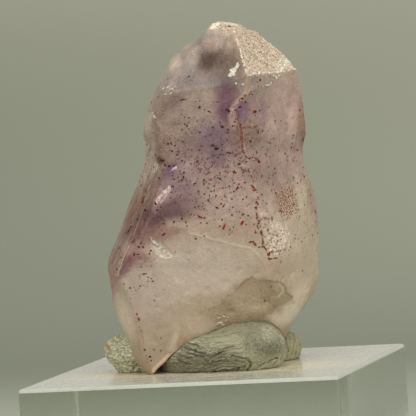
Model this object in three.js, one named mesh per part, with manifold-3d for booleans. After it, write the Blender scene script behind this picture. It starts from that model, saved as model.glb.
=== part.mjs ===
// Amethyst scepter: one quartz crystal with a six-sided head on a broad, broken foot,
// bedded in a lump of soft putty on a small clear acrylic block.
// Millimetres, +Z up. The origin is the middle of the block's underside, and -Y is its front.

import * as THREE from 'three';
import { mergeVertices } from 'three/addons/utils/BufferGeometryUtils.js';
import Module from 'manifold-3d';

const wasm = await Module();
wasm.setup();

// Display block
const BLOCK_SIDE = 38;
const BLOCK_HEIGHT = 12.7;
const BLOCK_CORNER_RADIUS = 0.7;
const BLOCK_EDGE_RADIUS = 0.35;

// How the specimen stands on the block
const SPECIMEN_TURN_DEGREES = 14.3;
const CLEARANCE = 0.3;

// The six long edges of the crystal, each from the foot up, as [x, y, z] above the block:
// x runs to the right and y away from the front.
const LEFT_EDGE = [
  [-8.1, -5.2, 0], [-9.1, -4.2, 1.2], [-9.7, -2.8, 3.2], [-10.5, -1.5, 4.8], [-11.3, -0.5, 6.7],
  [-11.7, 0, 8.7], [-11.9, 0.4, 11.5], [-12.1, 0.5, 13.3], [-11.4, 0.5, 14.7], [-10.2, 0.4, 16.8],
  [-9.5, 0.4, 18.9], [-8.1, 0.4, 21.7], [-7.2, 0.4, 23.8], [-6.7, 0.4, 25.7], [-6.3, 0.4, 29.3],
  [-5.9, 0.4, 32], [-5.6, 0.4, 43],
];
const FRONT_LEFT_EDGE = [
  [-7.7, -5.8, 0], [-8.2, -6.4, 2], [-8.5, -6.8, 3.5], [-9.2, -7.2, 7.7], [-10.5, -6.2, 11.8],
  [-8.5, -6.9, 15.9], [-6.5, -6.9, 19.1], [-5.1, -6.2, 22.1], [-4.7, -5.7, 23.9], [-4.9, -5.6, 25.7],
  [-5, -5.6, 28], [-5.4, -5.6, 32.8], [-5.4, -5.6, 43],
];
const FRONT_EDGE = [
  [3.5, -3.4, 0], [5, -4.8, 3], [6.2, -6.1, 5.5], [7.1, -7.8, 9], [7.2, -8.8, 13],
  [6.5, -8.9, 16.8], [6.2, -8.6, 19.7], [5.7, -8, 22.7], [5.1, -7.4, 24.7], [4.8, -7.3, 26],
  [5.1, -7.4, 29.7], [5.9, -7.5, 34.4], [5.9, -7.5, 43],
];
const RIGHT_EDGE = [
  [6.2, 0.6, 0], [7.4, 0.8, 1.6], [8.8, 1, 3.3], [10, 1, 5], [11.5, 1, 6.5], [12.6, 1, 8.3],
  [12.9, 1, 9.5], [13.2, 1, 12.3], [13.2, 1, 15.2], [13, 1, 19.9], [12.5, 1, 21.8], [12.1, 1, 23.7],
  [12.1, 1, 25.5], [12.6, 1, 26.3], [12.6, 1, 27.2], [12.3, 1, 32.2], [11.9, 1, 34.4], [11.9, 1, 43],
];
const BACK_RIGHT_EDGE = [
  [4.6, 4.6, 0], [6.6, 6, 3], [9, 7.4, 7], [10.6, 8.3, 12], [10.8, 8.3, 16], [10.3, 7.8, 20],
  [9.8, 7.1, 24], [9.9, 7, 27], [9.8, 7, 32], [9.6, 7, 43],
];
const BACK_EDGE = [
  [-1.6, 5.4, 0], [-1.4, 7, 3], [-0.9, 8.6, 7], [-0.4, 9.8, 12], [0, 9.9, 16], [0.5, 9.3, 20],
  [0.9, 8.5, 24], [1, 8.4, 27], [1.1, 8.4, 32], [1.2, 8.4, 43],
];
const LONG_EDGES = [LEFT_EDGE, FRONT_LEFT_EDGE, FRONT_EDGE, RIGHT_EDGE, BACK_RIGHT_EDGE, BACK_EDGE];

// Corners of the head's sloping faces
const SHOULDER_FRONT_LEFT = [-5.4, -5.6, 32.8];
const SHOULDER_FRONT = [5.9, -7.5, 34.4];
const SHOULDER_RIGHT = [11.9, 1, 34.3];
const SHOULDER_BACK_RIGHT = [9.7, 7, 33.2];
const SHOULDER_BACK = [1.1, 8.4, 29.8];
const SHOULDER_LEFT = [-6, 0.4, 31.4];
const SHOULDER_LEFT_LOW = [-4.9, -5.6, 31.2];
const STEP_LEFT = [-2.6, -0.8, 36.3];
const STEP_LEFT_FRONT = [-1.9, -3.8, 35.9];
const CREST_LEFT = [2.6, -1.9, 40.8];
const CREST_FRONT = [4.9, -2.9, 40.5];
const CREST_BACK = [4.6, 1, 40.1];
const CREST_RIGHT = [7.6, 0.3, 39.2];

// Rings of the loft
const FOOT_HEIGHT = CLEARANCE;
const NECK_HEIGHT = 28;
const RING_STEP = 0.8;
const HEAD_RINGS = [30, 32, 34.4, 43];
const POINTS_PER_SIDE = 4;
const BELLY_BULGE = 0.75;
const HEAD_BULGE = 0.08;
const FULL_BULGE_SIDE = 9;
const HEAD_STARTS = 27;
const BODY_ENDS = 17;
const BODY_RIPPLE = 0.13;
const HEAD_RIPPLE = 0.02;

// Breaks and chips taken out of the crystal: middle, half sizes and turn in degrees about x, y, z
const BREAKS = {
  underside: { middle: [2.5, -6, -1.5], half: [10.3, 9, 6.4], turn: [0, 0, 0], detail: 4 },
  clearDish: { middle: [5.2, -9.8, 7.7], half: [7.2, 2.9, 3.5], turn: [12, 14, 12], detail: 4 },
  leftRimChip: { middle: [-9.1, -3.6, 23.6], half: [2.3, 2.2, 1.5], turn: [0, 18, 20], detail: 2 },
  leftShoulderChip: { middle: [-6.6, -3.9, 30.6], half: [0.9, 1.9, 0.8], turn: [0, 10, 0], detail: 2 },
  rightNeckNotch: { middle: [13.3, 0.5, 24.7], half: [1.2, 3.4, 0.9], turn: [6, 10, 0], detail: 2 },
  flankChip: { middle: [-5.7, -8.4, 14.9], half: [2, 1.2, 0.8], turn: [0, 38, 0], detail: 2 },
  crestChip: { middle: [9.6, -1.2, 39.1], half: [1.5, 1.6, 0.9], turn: [0, 45, 0], detail: 2 },
  backScar: { middle: [4.4, 12.4, 18.4], half: [7.4, 3.6, 6.2], turn: [0, 24, 12], detail: 3 },
  backFootScar: { middle: [-6.8, 8.8, 5.4], half: [5.2, 3.8, 5.2], turn: [20, 0, 38], detail: 3 },
};

// Lumps that the putty was pressed together from
const PUTTY_LUMPS = {
  leftLobe: { middle: [-9, 1.4, 2.1], half: [4.1, 4.4, 2.5], turn: [0, 6, -20], detail: 4 },
  leftNeck: { middle: [-5.8, -0.4, 1.8], half: [4.4, 3.9, 2.5], turn: [0, 0, -25], detail: 4 },
  frontRoll: { middle: [0.4, -4.8, 2.4], half: [7.6, 4.4, 3.1], turn: [0, -6, -24], detail: 5 },
  frontEnd: { middle: [4.2, -5.7, 2.5], half: [4.5, 4.6, 3.1], turn: [0, 0, -12], detail: 4 },
  bed: { middle: [0.6, 2.6, 1.4], half: [9.4, 6.4, 2.4], turn: [0, 0, 8], detail: 4 },
  rearRightLobe: { middle: [6.6, 4.4, 1.4], half: [3.8, 5.2, 2.4], turn: [0, 0, 6], detail: 4 },
};
const PUTTY_RIPPLE = 0.2;

// Side of the box that cuts along a plane, larger than the specimen
const CUTTER_SIZE = 90;

// Colours, as the eye reads them under soft light
const SMOKY_PEACH_VIOLET = '#a8928a';
const GREY_OLIVE_PUTTY = '#9c9a7c';
const CLEAR_ACRYLIC = '#dde2d8';

// Geometry helpers

function solidFrom(geometry) {
  const bare = geometry.clone();
  bare.deleteAttribute('normal');
  bare.deleteAttribute('uv');
  const merged = mergeVertices(bare, 1e-4);
  return new wasm.Manifold(new wasm.Mesh({
    numProp: 3,
    vertProperties: new Float32Array(merged.attributes.position.array),
    triVerts: new Uint32Array(merged.index.array),
  }));
}

function geometryFrom(solid) {
  const mesh = solid.getMesh();
  const geometry = new THREE.BufferGeometry();
  geometry.setAttribute('position', new THREE.BufferAttribute(mesh.vertProperties, 3));
  geometry.setIndex(new THREE.BufferAttribute(mesh.triVerts, 1));
  geometry.computeVertexNormals();
  return geometry;
}

// A slow, smooth wander of about -1 to 1 that depends on the place alone
function wander(x, y, z) {
  const a = Math.sin(0.83 * x + 1.7 * Math.sin(0.41 * z + 0.6) + 0.9);
  const b = Math.sin(0.71 * z - 0.52 * y + 1.3 * Math.sin(0.47 * x) + 2.1);
  const c = Math.sin(1.9 * y + 1.15 * x - 0.6 * z);
  return 0.45 * a + 0.4 * b + 0.15 * c;
}

// The place on a long edge at the height z
function placeOnEdge(edge, z) {
  const upper = Math.max(1, edge.findIndex((point) => point[2] >= z));
  const [x0, y0, z0] = edge[upper - 1];
  const [x1, y1, z1] = edge[upper];
  const share = (z - z0) / (z1 - z0);
  return new THREE.Vector2(x0 + (x1 - x0) * share, y0 + (y1 - y0) * share);
}

// A lump of faces: a sphere stretched, turned and moved
function lump({ middle, half, turn, detail }, grow = 0, ripple = 0) {
  const geometry = new THREE.IcosahedronGeometry(1, detail);
  geometry.scale(half[0] + grow, half[1] + grow, half[2] + grow);
  const turns = turn.map((degrees) => THREE.MathUtils.degToRad(degrees));
  geometry.applyMatrix4(new THREE.Matrix4().makeRotationFromEuler(new THREE.Euler(...turns)));
  geometry.translate(...middle);
  const place = geometry.attributes.position;
  for (let i = 0; i < place.count; i += 1) {
    const point = new THREE.Vector3().fromBufferAttribute(place, i);
    const outward = point.clone().sub(new THREE.Vector3(...middle)).normalize();
    point.addScaledVector(outward, ripple * wander(1.6 * point.x, 1.6 * point.y, 2.2 * point.z));
    place.setXYZ(i, point.x, point.y, point.z);
  }
  return solidFrom(geometry);
}

// Everything on the outer side of the plane through three points, listed anticlockwise from outside
function beyond(a, b, c) {
  const corners = [a, b, c].map((point) => new THREE.Vector3(...point));
  const plane = new THREE.Plane().setFromCoplanarPoints(...corners);
  const box = new THREE.BoxGeometry(CUTTER_SIZE, CUTTER_SIZE, CUTTER_SIZE);
  box.translate(0, 0, CUTTER_SIZE / 2);
  box.applyQuaternion(new THREE.Quaternion().setFromUnitVectors(new THREE.Vector3(0, 0, 1), plane.normal));
  box.translate(corners[0].x, corners[0].y, corners[0].z);
  return solidFrom(box);
}

// Crystal

function ringHeights() {
  const heights = [];
  for (let z = FOOT_HEIGHT; z < NECK_HEIGHT; z += RING_STEP) heights.push(z);
  return heights.concat(HEAD_RINGS);
}

// One level of the crystal: six corners, with the sides between them slightly bulged and rippled
function ringPoints(z, grow) {
  const corners = LONG_EDGES.map((edge) => placeOnEdge(edge, z));
  const middle = corners.reduce((sum, corner) => sum.add(corner), new THREE.Vector2());
  middle.divideScalar(corners.length);
  const bodyShare = 1 - THREE.MathUtils.smoothstep(z, BODY_ENDS, HEAD_STARTS);
  const bulge = THREE.MathUtils.lerp(HEAD_BULGE, BELLY_BULGE, bodyShare);
  const ripple = THREE.MathUtils.lerp(HEAD_RIPPLE, BODY_RIPPLE, bodyShare);
  const points = [];
  corners.forEach((corner, index) => {
    const next = corners[(index + 1) % corners.length];
    const outward = new THREE.Vector2(next.y - corner.y, corner.x - next.x).normalize();
    for (let step = 0; step < POINTS_PER_SIDE; step += 1) {
      const share = step / POINTS_PER_SIDE;
      const point = corner.clone().lerp(next, share);
      const reach = bulge * Math.sin(Math.PI * share) * Math.min(1, corner.distanceTo(next) / FULL_BULGE_SIDE);
      point.addScaledVector(outward, reach);
      const away = point.clone().sub(middle).normalize();
      point.addScaledVector(away, grow + ripple * wander(point.x, point.y, z));
      points.push(point);
    }
  });
  return points;
}

// The column of rings from foot to head, closed at both ends
function crystalColumn(grow) {
  const heights = ringHeights();
  const count = POINTS_PER_SIDE * LONG_EDGES.length;
  const positions = [];
  const faces = [];
  heights.forEach((z, level) => {
    const lift = level === 0 ? -grow : 0;
    ringPoints(z, grow).forEach((point) => positions.push(point.x, point.y, z + lift));
  });
  for (let level = 1; level < heights.length; level += 1) {
    for (let i = 0; i < count; i += 1) {
      const low = (level - 1) * count + i;
      const lowNext = (level - 1) * count + ((i + 1) % count);
      faces.push(low, lowNext, low + count, lowNext, lowNext + count, low + count);
    }
  }
  const top = (heights.length - 1) * count;
  for (let i = 1; i < count - 1; i += 1) {
    faces.push(0, i + 1, i);
    faces.push(top, top + i, top + i + 1);
  }
  const geometry = new THREE.BufferGeometry();
  geometry.setAttribute('position', new THREE.Float32BufferAttribute(positions, 3));
  geometry.setIndex(faces);
  return solidFrom(geometry);
}

// The head's sloping faces and worn crest, cut from the column
function cutTermination(column) {
  const slopes = [
    [SHOULDER_FRONT_LEFT, SHOULDER_FRONT, CREST_LEFT],
    [SHOULDER_FRONT, SHOULDER_RIGHT, CREST_RIGHT],
    [SHOULDER_RIGHT, SHOULDER_BACK_RIGHT, CREST_RIGHT],
    [CREST_RIGHT, SHOULDER_BACK, CREST_BACK],
    [SHOULDER_BACK, STEP_LEFT, CREST_LEFT],
    [SHOULDER_BACK, SHOULDER_LEFT, STEP_LEFT],
    [SHOULDER_LEFT, SHOULDER_LEFT_LOW, STEP_LEFT],
    [STEP_LEFT, STEP_LEFT_FRONT, CREST_LEFT],
    [CREST_LEFT, CREST_FRONT, CREST_BACK],
  ];
  return slopes.reduce((solid, corners) => solid.subtract(beyond(...corners)), column);
}

function crystalSolid() {
  const head = cutTermination(crystalColumn(0));
  return Object.values(BREAKS).reduce((solid, gap) => solid.subtract(lump(gap)), head);
}

// The room that the putty leaves for the crystal
function crystalRoom() {
  return crystalColumn(CLEARANCE).subtract(lump(BREAKS.underside, -CLEARANCE));
}

// Putty

function puttySolid() {
  const lumps = Object.values(PUTTY_LUMPS).map((one) => lump(one, 0, PUTTY_RIPPLE));
  const pressed = lumps.reduce((solid, one) => solid.add(one));
  const belowFoot = beyond([0, 0, CLEARANCE], [0, 1, CLEARANCE], [1, 0, CLEARANCE]);
  return pressed.subtract(crystalRoom()).subtract(belowFoot);
}

// Block

function blockGeometry() {
  const half = BLOCK_SIDE / 2 - BLOCK_EDGE_RADIUS;
  const inner = half - BLOCK_CORNER_RADIUS;
  const outline = new THREE.Shape();
  outline.absarc(inner, inner, BLOCK_CORNER_RADIUS, 0, Math.PI / 2);
  outline.absarc(-inner, inner, BLOCK_CORNER_RADIUS, Math.PI / 2, Math.PI);
  outline.absarc(-inner, -inner, BLOCK_CORNER_RADIUS, Math.PI, 1.5 * Math.PI);
  outline.absarc(inner, -inner, BLOCK_CORNER_RADIUS, 1.5 * Math.PI, 2 * Math.PI);
  outline.closePath();
  const geometry = new THREE.ExtrudeGeometry(outline, {
    depth: BLOCK_HEIGHT - 2 * BLOCK_EDGE_RADIUS,
    bevelThickness: BLOCK_EDGE_RADIUS,
    bevelSize: BLOCK_EDGE_RADIUS,
    bevelSegments: 3,
    curveSegments: 4,
  });
  geometry.translate(0, 0, BLOCK_EDGE_RADIUS);
  return geometry;
}

// Scene

const crystal = new THREE.Mesh(
  geometryFrom(crystalSolid()),
  new THREE.MeshStandardMaterial({ color: SMOKY_PEACH_VIOLET, roughness: 0.35, metalness: 0 }),
);
crystal.name = 'scepter_crystal';

const putty = new THREE.Mesh(
  geometryFrom(puttySolid()),
  new THREE.MeshStandardMaterial({ color: GREY_OLIVE_PUTTY, roughness: 0.75, metalness: 0 }),
);
putty.name = 'mounting_putty';

const block = new THREE.Mesh(
  blockGeometry(),
  new THREE.MeshStandardMaterial({
    color: CLEAR_ACRYLIC, roughness: 0.08, metalness: 0, transparent: true, opacity: 0.35,
  }),
);
block.name = 'acrylic_block';

const specimen = new THREE.Group();
specimen.add(crystal, putty);
specimen.position.z = BLOCK_HEIGHT;
specimen.rotation.z = THREE.MathUtils.degToRad(SPECIMEN_TURN_DEGREES);

const mountedScepter = new THREE.Group();
mountedScepter.add(block, specimen);

export default mountedScepter;
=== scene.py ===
"""A scepter crystal bedded in putty on a clear acrylic block: looks, stage, lights and camera."""

import math
import random
from functools import reduce
from operator import add, mul

import bmesh
import bpy
import numpy as np
from mathutils import Matrix, Vector, noise
from mathutils.bvhtree import BVHTree


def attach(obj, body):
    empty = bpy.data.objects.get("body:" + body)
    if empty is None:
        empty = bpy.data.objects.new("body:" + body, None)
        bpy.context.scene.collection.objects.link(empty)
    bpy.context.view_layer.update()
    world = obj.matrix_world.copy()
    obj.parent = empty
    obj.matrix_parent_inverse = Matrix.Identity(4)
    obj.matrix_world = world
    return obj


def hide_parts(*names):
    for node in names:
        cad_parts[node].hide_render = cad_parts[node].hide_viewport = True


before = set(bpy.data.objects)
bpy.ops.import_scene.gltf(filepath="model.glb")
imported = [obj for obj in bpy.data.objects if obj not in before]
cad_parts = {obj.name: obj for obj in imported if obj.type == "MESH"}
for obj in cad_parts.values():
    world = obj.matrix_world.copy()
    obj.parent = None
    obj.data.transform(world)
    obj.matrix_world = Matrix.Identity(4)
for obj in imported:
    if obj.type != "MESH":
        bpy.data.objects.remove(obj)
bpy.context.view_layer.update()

# Block and specimen, in millimetres. The specimen's own frame has x to the right, y away from
# the front and z up from the block's top.
MM = 0.001
BLOCK_SIDE = 38.0
BLOCK_HEIGHT = 12.7
SPECIMEN_TURN = math.radians(14.3)
CRYSTAL_TOP = 41.0

# How far apart the points of the fine meshes are
CRYSTAL_SPACING = 0.19
PUTTY_SPACING = 0.13

# Corners of the white sloping face, and the crust on the crest as a middle and a half size
WHITE_FACE = ((5.9, -7.5, 34.4), (11.9, 1.0, 34.3), (4.9, -2.9, 40.5))
CREST_MIDDLE, CREST_SIZE = (3.6, -2.0, 40.6), (2.2, 5.0, 1.25)

# How well clear quartz and acrylic bend light
QUARTZ_IOR, ACRYLIC_IOR = 1.544, 1.49

SEED = 7


# Numbers and places

def smooth(value, low, high):
    """0 below low, 1 above high, and an S curve between; low may be the larger one."""
    part = np.clip((value - low) / (high - low), 0.0, 1.0)
    return part * part * (3.0 - 2.0 * part)


def cloud(points, size, seed, stretch=(1, 1, 1)):
    """Soft noise of about -1 to 1 at each point, with lumps of the given size."""
    shift = Vector((seed * 17.3, seed * -9.1, seed * 5.7))
    scaled = points / (np.array(stretch) * size)
    return np.array([noise.noise(Vector(p) + shift) for p in scaled.tolist()])


def clouds(points, reach, size, seeds):
    """Three clouds that push each point about, by up to the given reach."""
    return np.stack([reach * cloud(points, size, seed) for seed in seeds], 1)


def spans(line):
    """The pairs of neighbouring corners of a chain."""
    return list(zip(line[:-1], line[1:]))


def distance_to_line(points, line):
    """Distance in the front view (x and z) from each point to a chain of (x, z) corners."""
    flat = points[:, [0, 2]]
    best = np.full(len(points), 1e9)
    for a, b in spans(line):
        a, b = np.array(a, float), np.array(b, float)
        along = b - a
        part = np.clip((flat - a) @ along / (along @ along), 0.0, 1.0)
        best = np.minimum(best, np.linalg.norm(flat - a - part[:, None] * along, axis=1))
    return best


def inside(points, outline):
    """Which points lie inside a closed outline of (x, z) corners in the front view."""
    x, z = points[:, 0], points[:, 2]
    within = np.zeros(len(points), bool)
    for (x0, z0), (x1, z1) in zip(outline, outline[1:] + outline[:1]):
        if z0 != z1:
            within ^= ((z0 > z) != (z1 > z)) & (x < x0 + (z - z0) * (x1 - x0) / (z1 - z0))
    return within


def height_over(points, outline):
    """How far each point stands above an outline of the front view, and 0 past its two ends."""
    x, z = np.array(outline).T
    over = np.maximum(points[:, 2] - np.interp(points[:, 0], x, z), 0)
    return over * (points[:, 0] > x[0]) * (points[:, 0] < x[-1])


def face_distance(points, corners):
    """Signed distance from each point to the plane through three corners."""
    a, b, c = (np.array(corner, float) for corner in corners)
    across = np.cross(b - a, c - a)
    return (points - a) @ (across / np.linalg.norm(across))


def tone(*shades):
    """A red, green and blue as the eye reads them, 0 to 255, turned into light values."""
    light = (((v / 255 + 0.055) / 1.055) ** 2.4 if v > 10 else v / 3294 for v in shades)
    return (*light, 1.0)


# Pieces and their meshes

SPECIMEN_TO_WORLD = (
    Matrix.Translation((0, 0, BLOCK_HEIGHT * MM))
    @ Matrix.Rotation(SPECIMEN_TURN, 4, "Z")
    @ Matrix.Scale(MM, 4)
)
WORLD_TO_SPECIMEN = SPECIMEN_TO_WORLD.inverted()


def show(name, data):
    """Links new data to the scene as an object."""
    thing = bpy.data.objects.new(name, data)
    bpy.context.scene.collection.objects.link(thing)
    return thing


def add_piece(name, mesh, materials, replaces=None):
    """Shows a mesh as a piece of the object, with its materials and body, and hides the CAD node it
    replaces.
    """
    piece = show(name, mesh)
    for material in materials:
        piece.data.materials.append(material)
    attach(piece, "root")
    if replaces:
        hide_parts(replaces)


def even_mesh(node_name, spacing):
    """A closed copy of a CAD solid in the specimen's frame, with evenly spaced points."""
    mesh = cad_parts[node_name].data.copy()
    mesh.transform(WORLD_TO_SPECIMEN)
    mesh.materials.clear()
    shell = bmesh.new()
    shell.from_mesh(mesh)
    bmesh.ops.remove_doubles(shell, verts=shell.verts, dist=1e-3)
    shell.to_mesh(mesh)
    shell.free()
    blank = show("blank", mesh)
    remesh = blank.modifiers.new("even", "REMESH")
    remesh.mode = "VOXEL"
    remesh.voxel_size = spacing
    evaluated = blank.evaluated_get(bpy.context.evaluated_depsgraph_get())
    fine = bpy.data.meshes.new_from_object(evaluated)
    bpy.data.objects.remove(blank)
    return fine


def read(items, field, width=3, kind=float):
    """One field of every vertex, edge or face, as rows."""
    values = np.empty(len(items) * width, kind)
    items.foreach_get(field, values)
    return values.reshape(-1, width)


def write_points(mesh, points):
    """Moves the vertices of a mesh to the given rows."""
    mesh.vertices.foreach_set("co", points.ravel())
    mesh.update()


def relax(mesh, weight, rounds):
    """Moves each point towards the middle of its neighbours, by its own weight of 0 to 1."""
    a, b = read(mesh.edges, "vertices", 2, int).T
    points = read(mesh.vertices, "co")
    size = len(points)
    count = np.bincount(a, minlength=size) + np.bincount(b, minlength=size)
    for _ in range(rounds):
        middle = np.stack([
            np.bincount(a, points[b, k], size) + np.bincount(b, points[a, k], size)
            for k in range(3)
        ], 1) / count[:, None]
        points += (middle - points) * weight[:, None]
    write_points(mesh, points)


def shade_smooth(mesh):
    mesh.polygons.foreach_set("use_smooth", [True] * len(mesh.polygons))
    mesh.update()


def mesh_from(shell, name):
    """Turns a worked shell into a mesh."""
    mesh = bpy.data.meshes.new(name)
    shell.to_mesh(mesh)
    shell.free()
    return mesh


# Building material nodes

class Wire:
    """What a node puts out. Wires add, subtract, multiply and divide like numbers or vectors."""

    def __init__(self, tree, socket):
        self.tree, self.socket = tree, socket

    def beside(self, output):
        """Another output of the same node."""
        return Wire(self.tree, self.socket.node.outputs[output])

    def __add__(self, other):
        return combine("ADD", self, other)

    def __radd__(self, other):
        return combine("ADD", other, self)

    def __sub__(self, other):
        return combine("SUBTRACT", self, other)

    def __rsub__(self, other):
        return combine("SUBTRACT", other, self)

    def __mul__(self, other):
        if is_vector(self) and not is_vector(other):
            return put(self.tree, "VectorMath", {0: self, "Scale": other}, operation="SCALE")
        return combine("MULTIPLY", self, other)

    def __truediv__(self, other):
        return combine("DIVIDE", self, other)

    def __abs__(self):
        return combine("ABSOLUTE", self)


def is_vector(value):
    return isinstance(value, tuple) or isinstance(value, Wire) and value.socket.type != "VALUE"


def plug(node, values):
    """Sets a node's inputs by name or number, to plain values or to wires from other nodes."""
    for key, value in values.items():
        if isinstance(value, Wire):
            value.tree.links.new(value.socket, node.inputs[key])
        else:
            node.inputs[key].default_value = value


def put(tree, kind, values, output=0, **settings):
    """Adds a node with its settings and inputs, and gives one of its outputs."""
    made = tree.nodes.new("ShaderNode" + kind)
    for key, value in settings.items():
        setattr(made, key, value)
    plug(made, values)
    return Wire(tree, made.outputs[output])


def combine(operation, *values, output=0, **settings):
    """A math node, for vectors where any of its values is one."""
    tree = next(value.tree for value in values if isinstance(value, Wire))
    kind = "VectorMath" if any(is_vector(value) for value in values) else "Math"
    return put(tree, kind, dict(enumerate(values)), output, operation=operation, **settings)


def either(a, b):
    return combine("MAXIMUM", a, b)


def length(vector):
    return combine("LENGTH", vector, output="Value")


def axes(place):
    """The x, y and z of a place."""
    x = put(place.tree, "SeparateXYZ", {0: place})
    return x, x.beside("Y"), x.beside("Z")


def ramp(value, low, high, kind="SMOOTHSTEP"):
    """0 at low and 1 at high."""
    values = {"Value": value, "From Min": low, "From Max": high}
    return put(value.tree, "MapRange", values, interpolation_type=kind)


def rescale(value, low, high, new_low, new_high):
    """A value of low to high, stretched to new_low to new_high."""
    return put(value.tree, "MapRange", {
        "Value": value, "From Min": low, "From Max": high, "To Min": new_low, "To Max": new_high,
    })


def mist(place, scale=1.0, detail=2.0, roughness=0.5, output="Fac"):
    """Soft noise, as a value or as three in a colour."""
    values = {"Vector": place, "Scale": scale, "Detail": detail, "Roughness": roughness}
    return put(place.tree, "TexNoise", values, output)


def bump(height, distance, strength=1.0):
    values = {"Height": height, "Distance": distance, "Strength": strength}
    return put(height.tree, "Bump", values)


def lay(colour, mask, shade):
    """Lays a shade over a colour where the mask says. Plain colours are as the eye reads them."""
    under, over = (v if isinstance(v, Wire) else tone(*v) for v in (colour, shade))
    return put(mask.tree, "Mix", {0: mask, 6: under, 7: over}, 2, data_type="RGBA")


# Node groups that the crystal, the flakes, the putty and the block share

def new_group(name, inputs, outputs):
    """An empty shader node group, its inputs as wires and its end. Inputs may have a default."""
    group = bpy.data.node_groups.new(name, "ShaderNodeTree")
    for direction, sockets in (("INPUT", inputs), ("OUTPUT", outputs)):
        for label, kind, *default in sockets:
            socket = group.interface.new_socket(
                label, in_out=direction, socket_type="NodeSocket" + kind)
            if default:
                socket.default_value = default[0]
    start, end = group.nodes.new("NodeGroupInput"), group.nodes.new("NodeGroupOutput")
    return group, {label: Wire(group, start.outputs[label]) for label, *_ in inputs}, end


def turned_from(given, middle):
    """A group's place, measured from a middle and turned."""
    values = {"Vector": given["Place"] - given[middle], "Rotation": given["Turn"]}
    return put(given["Place"].tree, "VectorRotate", values, rotation_type="EULER_XYZ")


def build_place_group():
    """Object coordinates in the specimen's millimetres, plain and with a natural wander."""
    group, given, end = new_group(
        "specimen place",
        [("Object", "Vector"), ("Wander", "Float", 1.0), ("Grain", "Float", 0.3)],
        [("Place", "Vector"), ("Wandering Place", "Vector")],
    )
    place = put(group, "Mapping", {
        "Vector": given["Object"], "Location": (0, 0, -BLOCK_HEIGHT),
        "Rotation": (0, 0, -SPECIMEN_TURN), "Scale": (1 / MM,) * 3,
    })
    moved = place
    for size, reach in ((2.6, "Wander"), (0.5, "Grain")):
        swirl = mist(place, 1 / size, 1.5, output="Color")
        moved = moved + (swirl - (0.5, 0.5, 0.5)) * (given[reach] * 2.0)
    plug(end, {"Place": place, "Wandering Place": moved})
    return group


def build_zone_group():
    """A soft-edged ellipsoid: 1 inside, 0 outside."""
    group, given, end = new_group(
        "colour zone",
        [("Place", "Vector"), ("Centre", "Vector"), ("Half Size", "Vector", (1, 1, 1)),
         ("Turn", "Vector"), ("Softness", "Float", 0.4), ("Strength", "Float", 1.0)],
        [("Mask", "Float")],
    )
    radius = length(turned_from(given, "Centre") / given["Half Size"])
    mask = ramp(radius, 1.0 + given["Softness"], 1.0 - given["Softness"])
    plug(end, {"Mask": combine("MULTIPLY", mask, given["Strength"], use_clamp=True)})
    return group


def build_streak_group():
    """A thin straight line of the front, by its middle, half length and lean; not on the back."""
    group, given, end = new_group(
        "front streak",
        [("Place", "Vector"), ("Middle", "Vector"), ("Turn", "Vector"), ("Half Length", "Vector"),
         ("Width", "Float", 0.2), ("Strength", "Float", 1.0)],
        [("Mask", "Float")],
    )
    beyond = abs(turned_from(given, "Middle")) - given["Half Length"]
    gap = length(either(beyond, (0, 0, 0)) * (1, 0, 1))
    mask = ramp(gap, given["Width"], given["Width"] * 0.35)
    _, depth, _ = axes(given["Place"])
    mask = mask * ramp(depth, -0.5, -2.5)
    plug(end, {"Mask": combine("MULTIPLY", mask, given["Strength"], use_clamp=True)})
    return group


def build_veil_group():
    """Cloudy veils: soft noise between a low and a high level."""
    group, given, end = new_group(
        "cloudy veil",
        [("Place", "Vector"), ("Size", "Vector", (2, 2, 2)), ("Low", "Float", 0.4),
         ("High", "Float", 0.65)],
        [("Mask", "Float")],
    )
    level = mist(given["Place"] / given["Size"], 1.0, 4.0, 0.6)
    plug(end, {"Mask": ramp(level, given["Low"], given["High"])})
    return group


PLACE = build_place_group()
ZONE = build_zone_group()
STREAK = build_streak_group()
VEIL = build_veil_group()


def start_material(name):
    """A new material: its surface, its output and the object's own coordinates."""
    material = bpy.data.materials.new(name)
    material.use_nodes = True
    tree = material.node_tree
    tree.nodes.clear()
    surface = tree.nodes.new("ShaderNodeBsdfPrincipled")
    output = tree.nodes.new("ShaderNodeOutputMaterial")
    plug(output, {"Surface": Wire(tree, surface.outputs[0])})
    return material, surface, output, put(tree, "TexCoord", {}, "Object")


def specimen_places(object_place, wander, grain):
    """The place in the specimen's millimetres, and the same with a natural wander."""
    values = {"Object": object_place, "Wander": wander, "Grain": grain}
    place = put(object_place.tree, "Group", values, node_tree=PLACE)
    return place, place.beside("Wandering Place")


def veil(place, size, low, high, strength=1.0):
    """The mask of cloudy veils whose lumps have the given size."""
    values = {"Place": place, "Size": size, "Low": low, "High": high}
    level = put(place.tree, "Group", values, node_tree=VEIL)
    return level if strength == 1.0 else level * strength


def zone(place, centre, half, tilt=0, softness=0.5, strength=1.0):
    """The mask of one soft zone, which leans in the front view by its tilt in degrees."""
    return put(place.tree, "Group", {
        "Place": place, "Centre": centre, "Half Size": half, "Turn": (0, math.radians(-tilt), 0),
        "Softness": softness, "Strength": strength,
    }, node_tree=ZONE)


def streak(place, a, b, width, strength):
    """The mask of a thin line of the front between two (x, z) places."""
    return put(place.tree, "Group", {
        "Place": place, "Middle": ((a[0] + b[0]) / 2, 0, (a[1] + b[1]) / 2),
        "Turn": (0, math.atan2(b[1] - a[1], b[0] - a[0]), 0),
        "Half Length": (math.hypot(b[0] - a[0], b[1] - a[1]) / 2, 0, 0),
        "Width": width, "Strength": strength,
    }, node_tree=STREAK)


def line_mask(place, line, width, strength):
    """The mask of a whole chain of (x, z) corners."""
    return reduce(either, (streak(place, a, b, width, strength) for a, b in spans(line)))


def mottle(place, size, depth):
    """A factor near 1 that lightens and darkens soft patches by up to the given share."""
    return rescale(mist(place / size, 1.0, 3.0), 0.34, 0.66, 1 - depth, 1 + depth)


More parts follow.
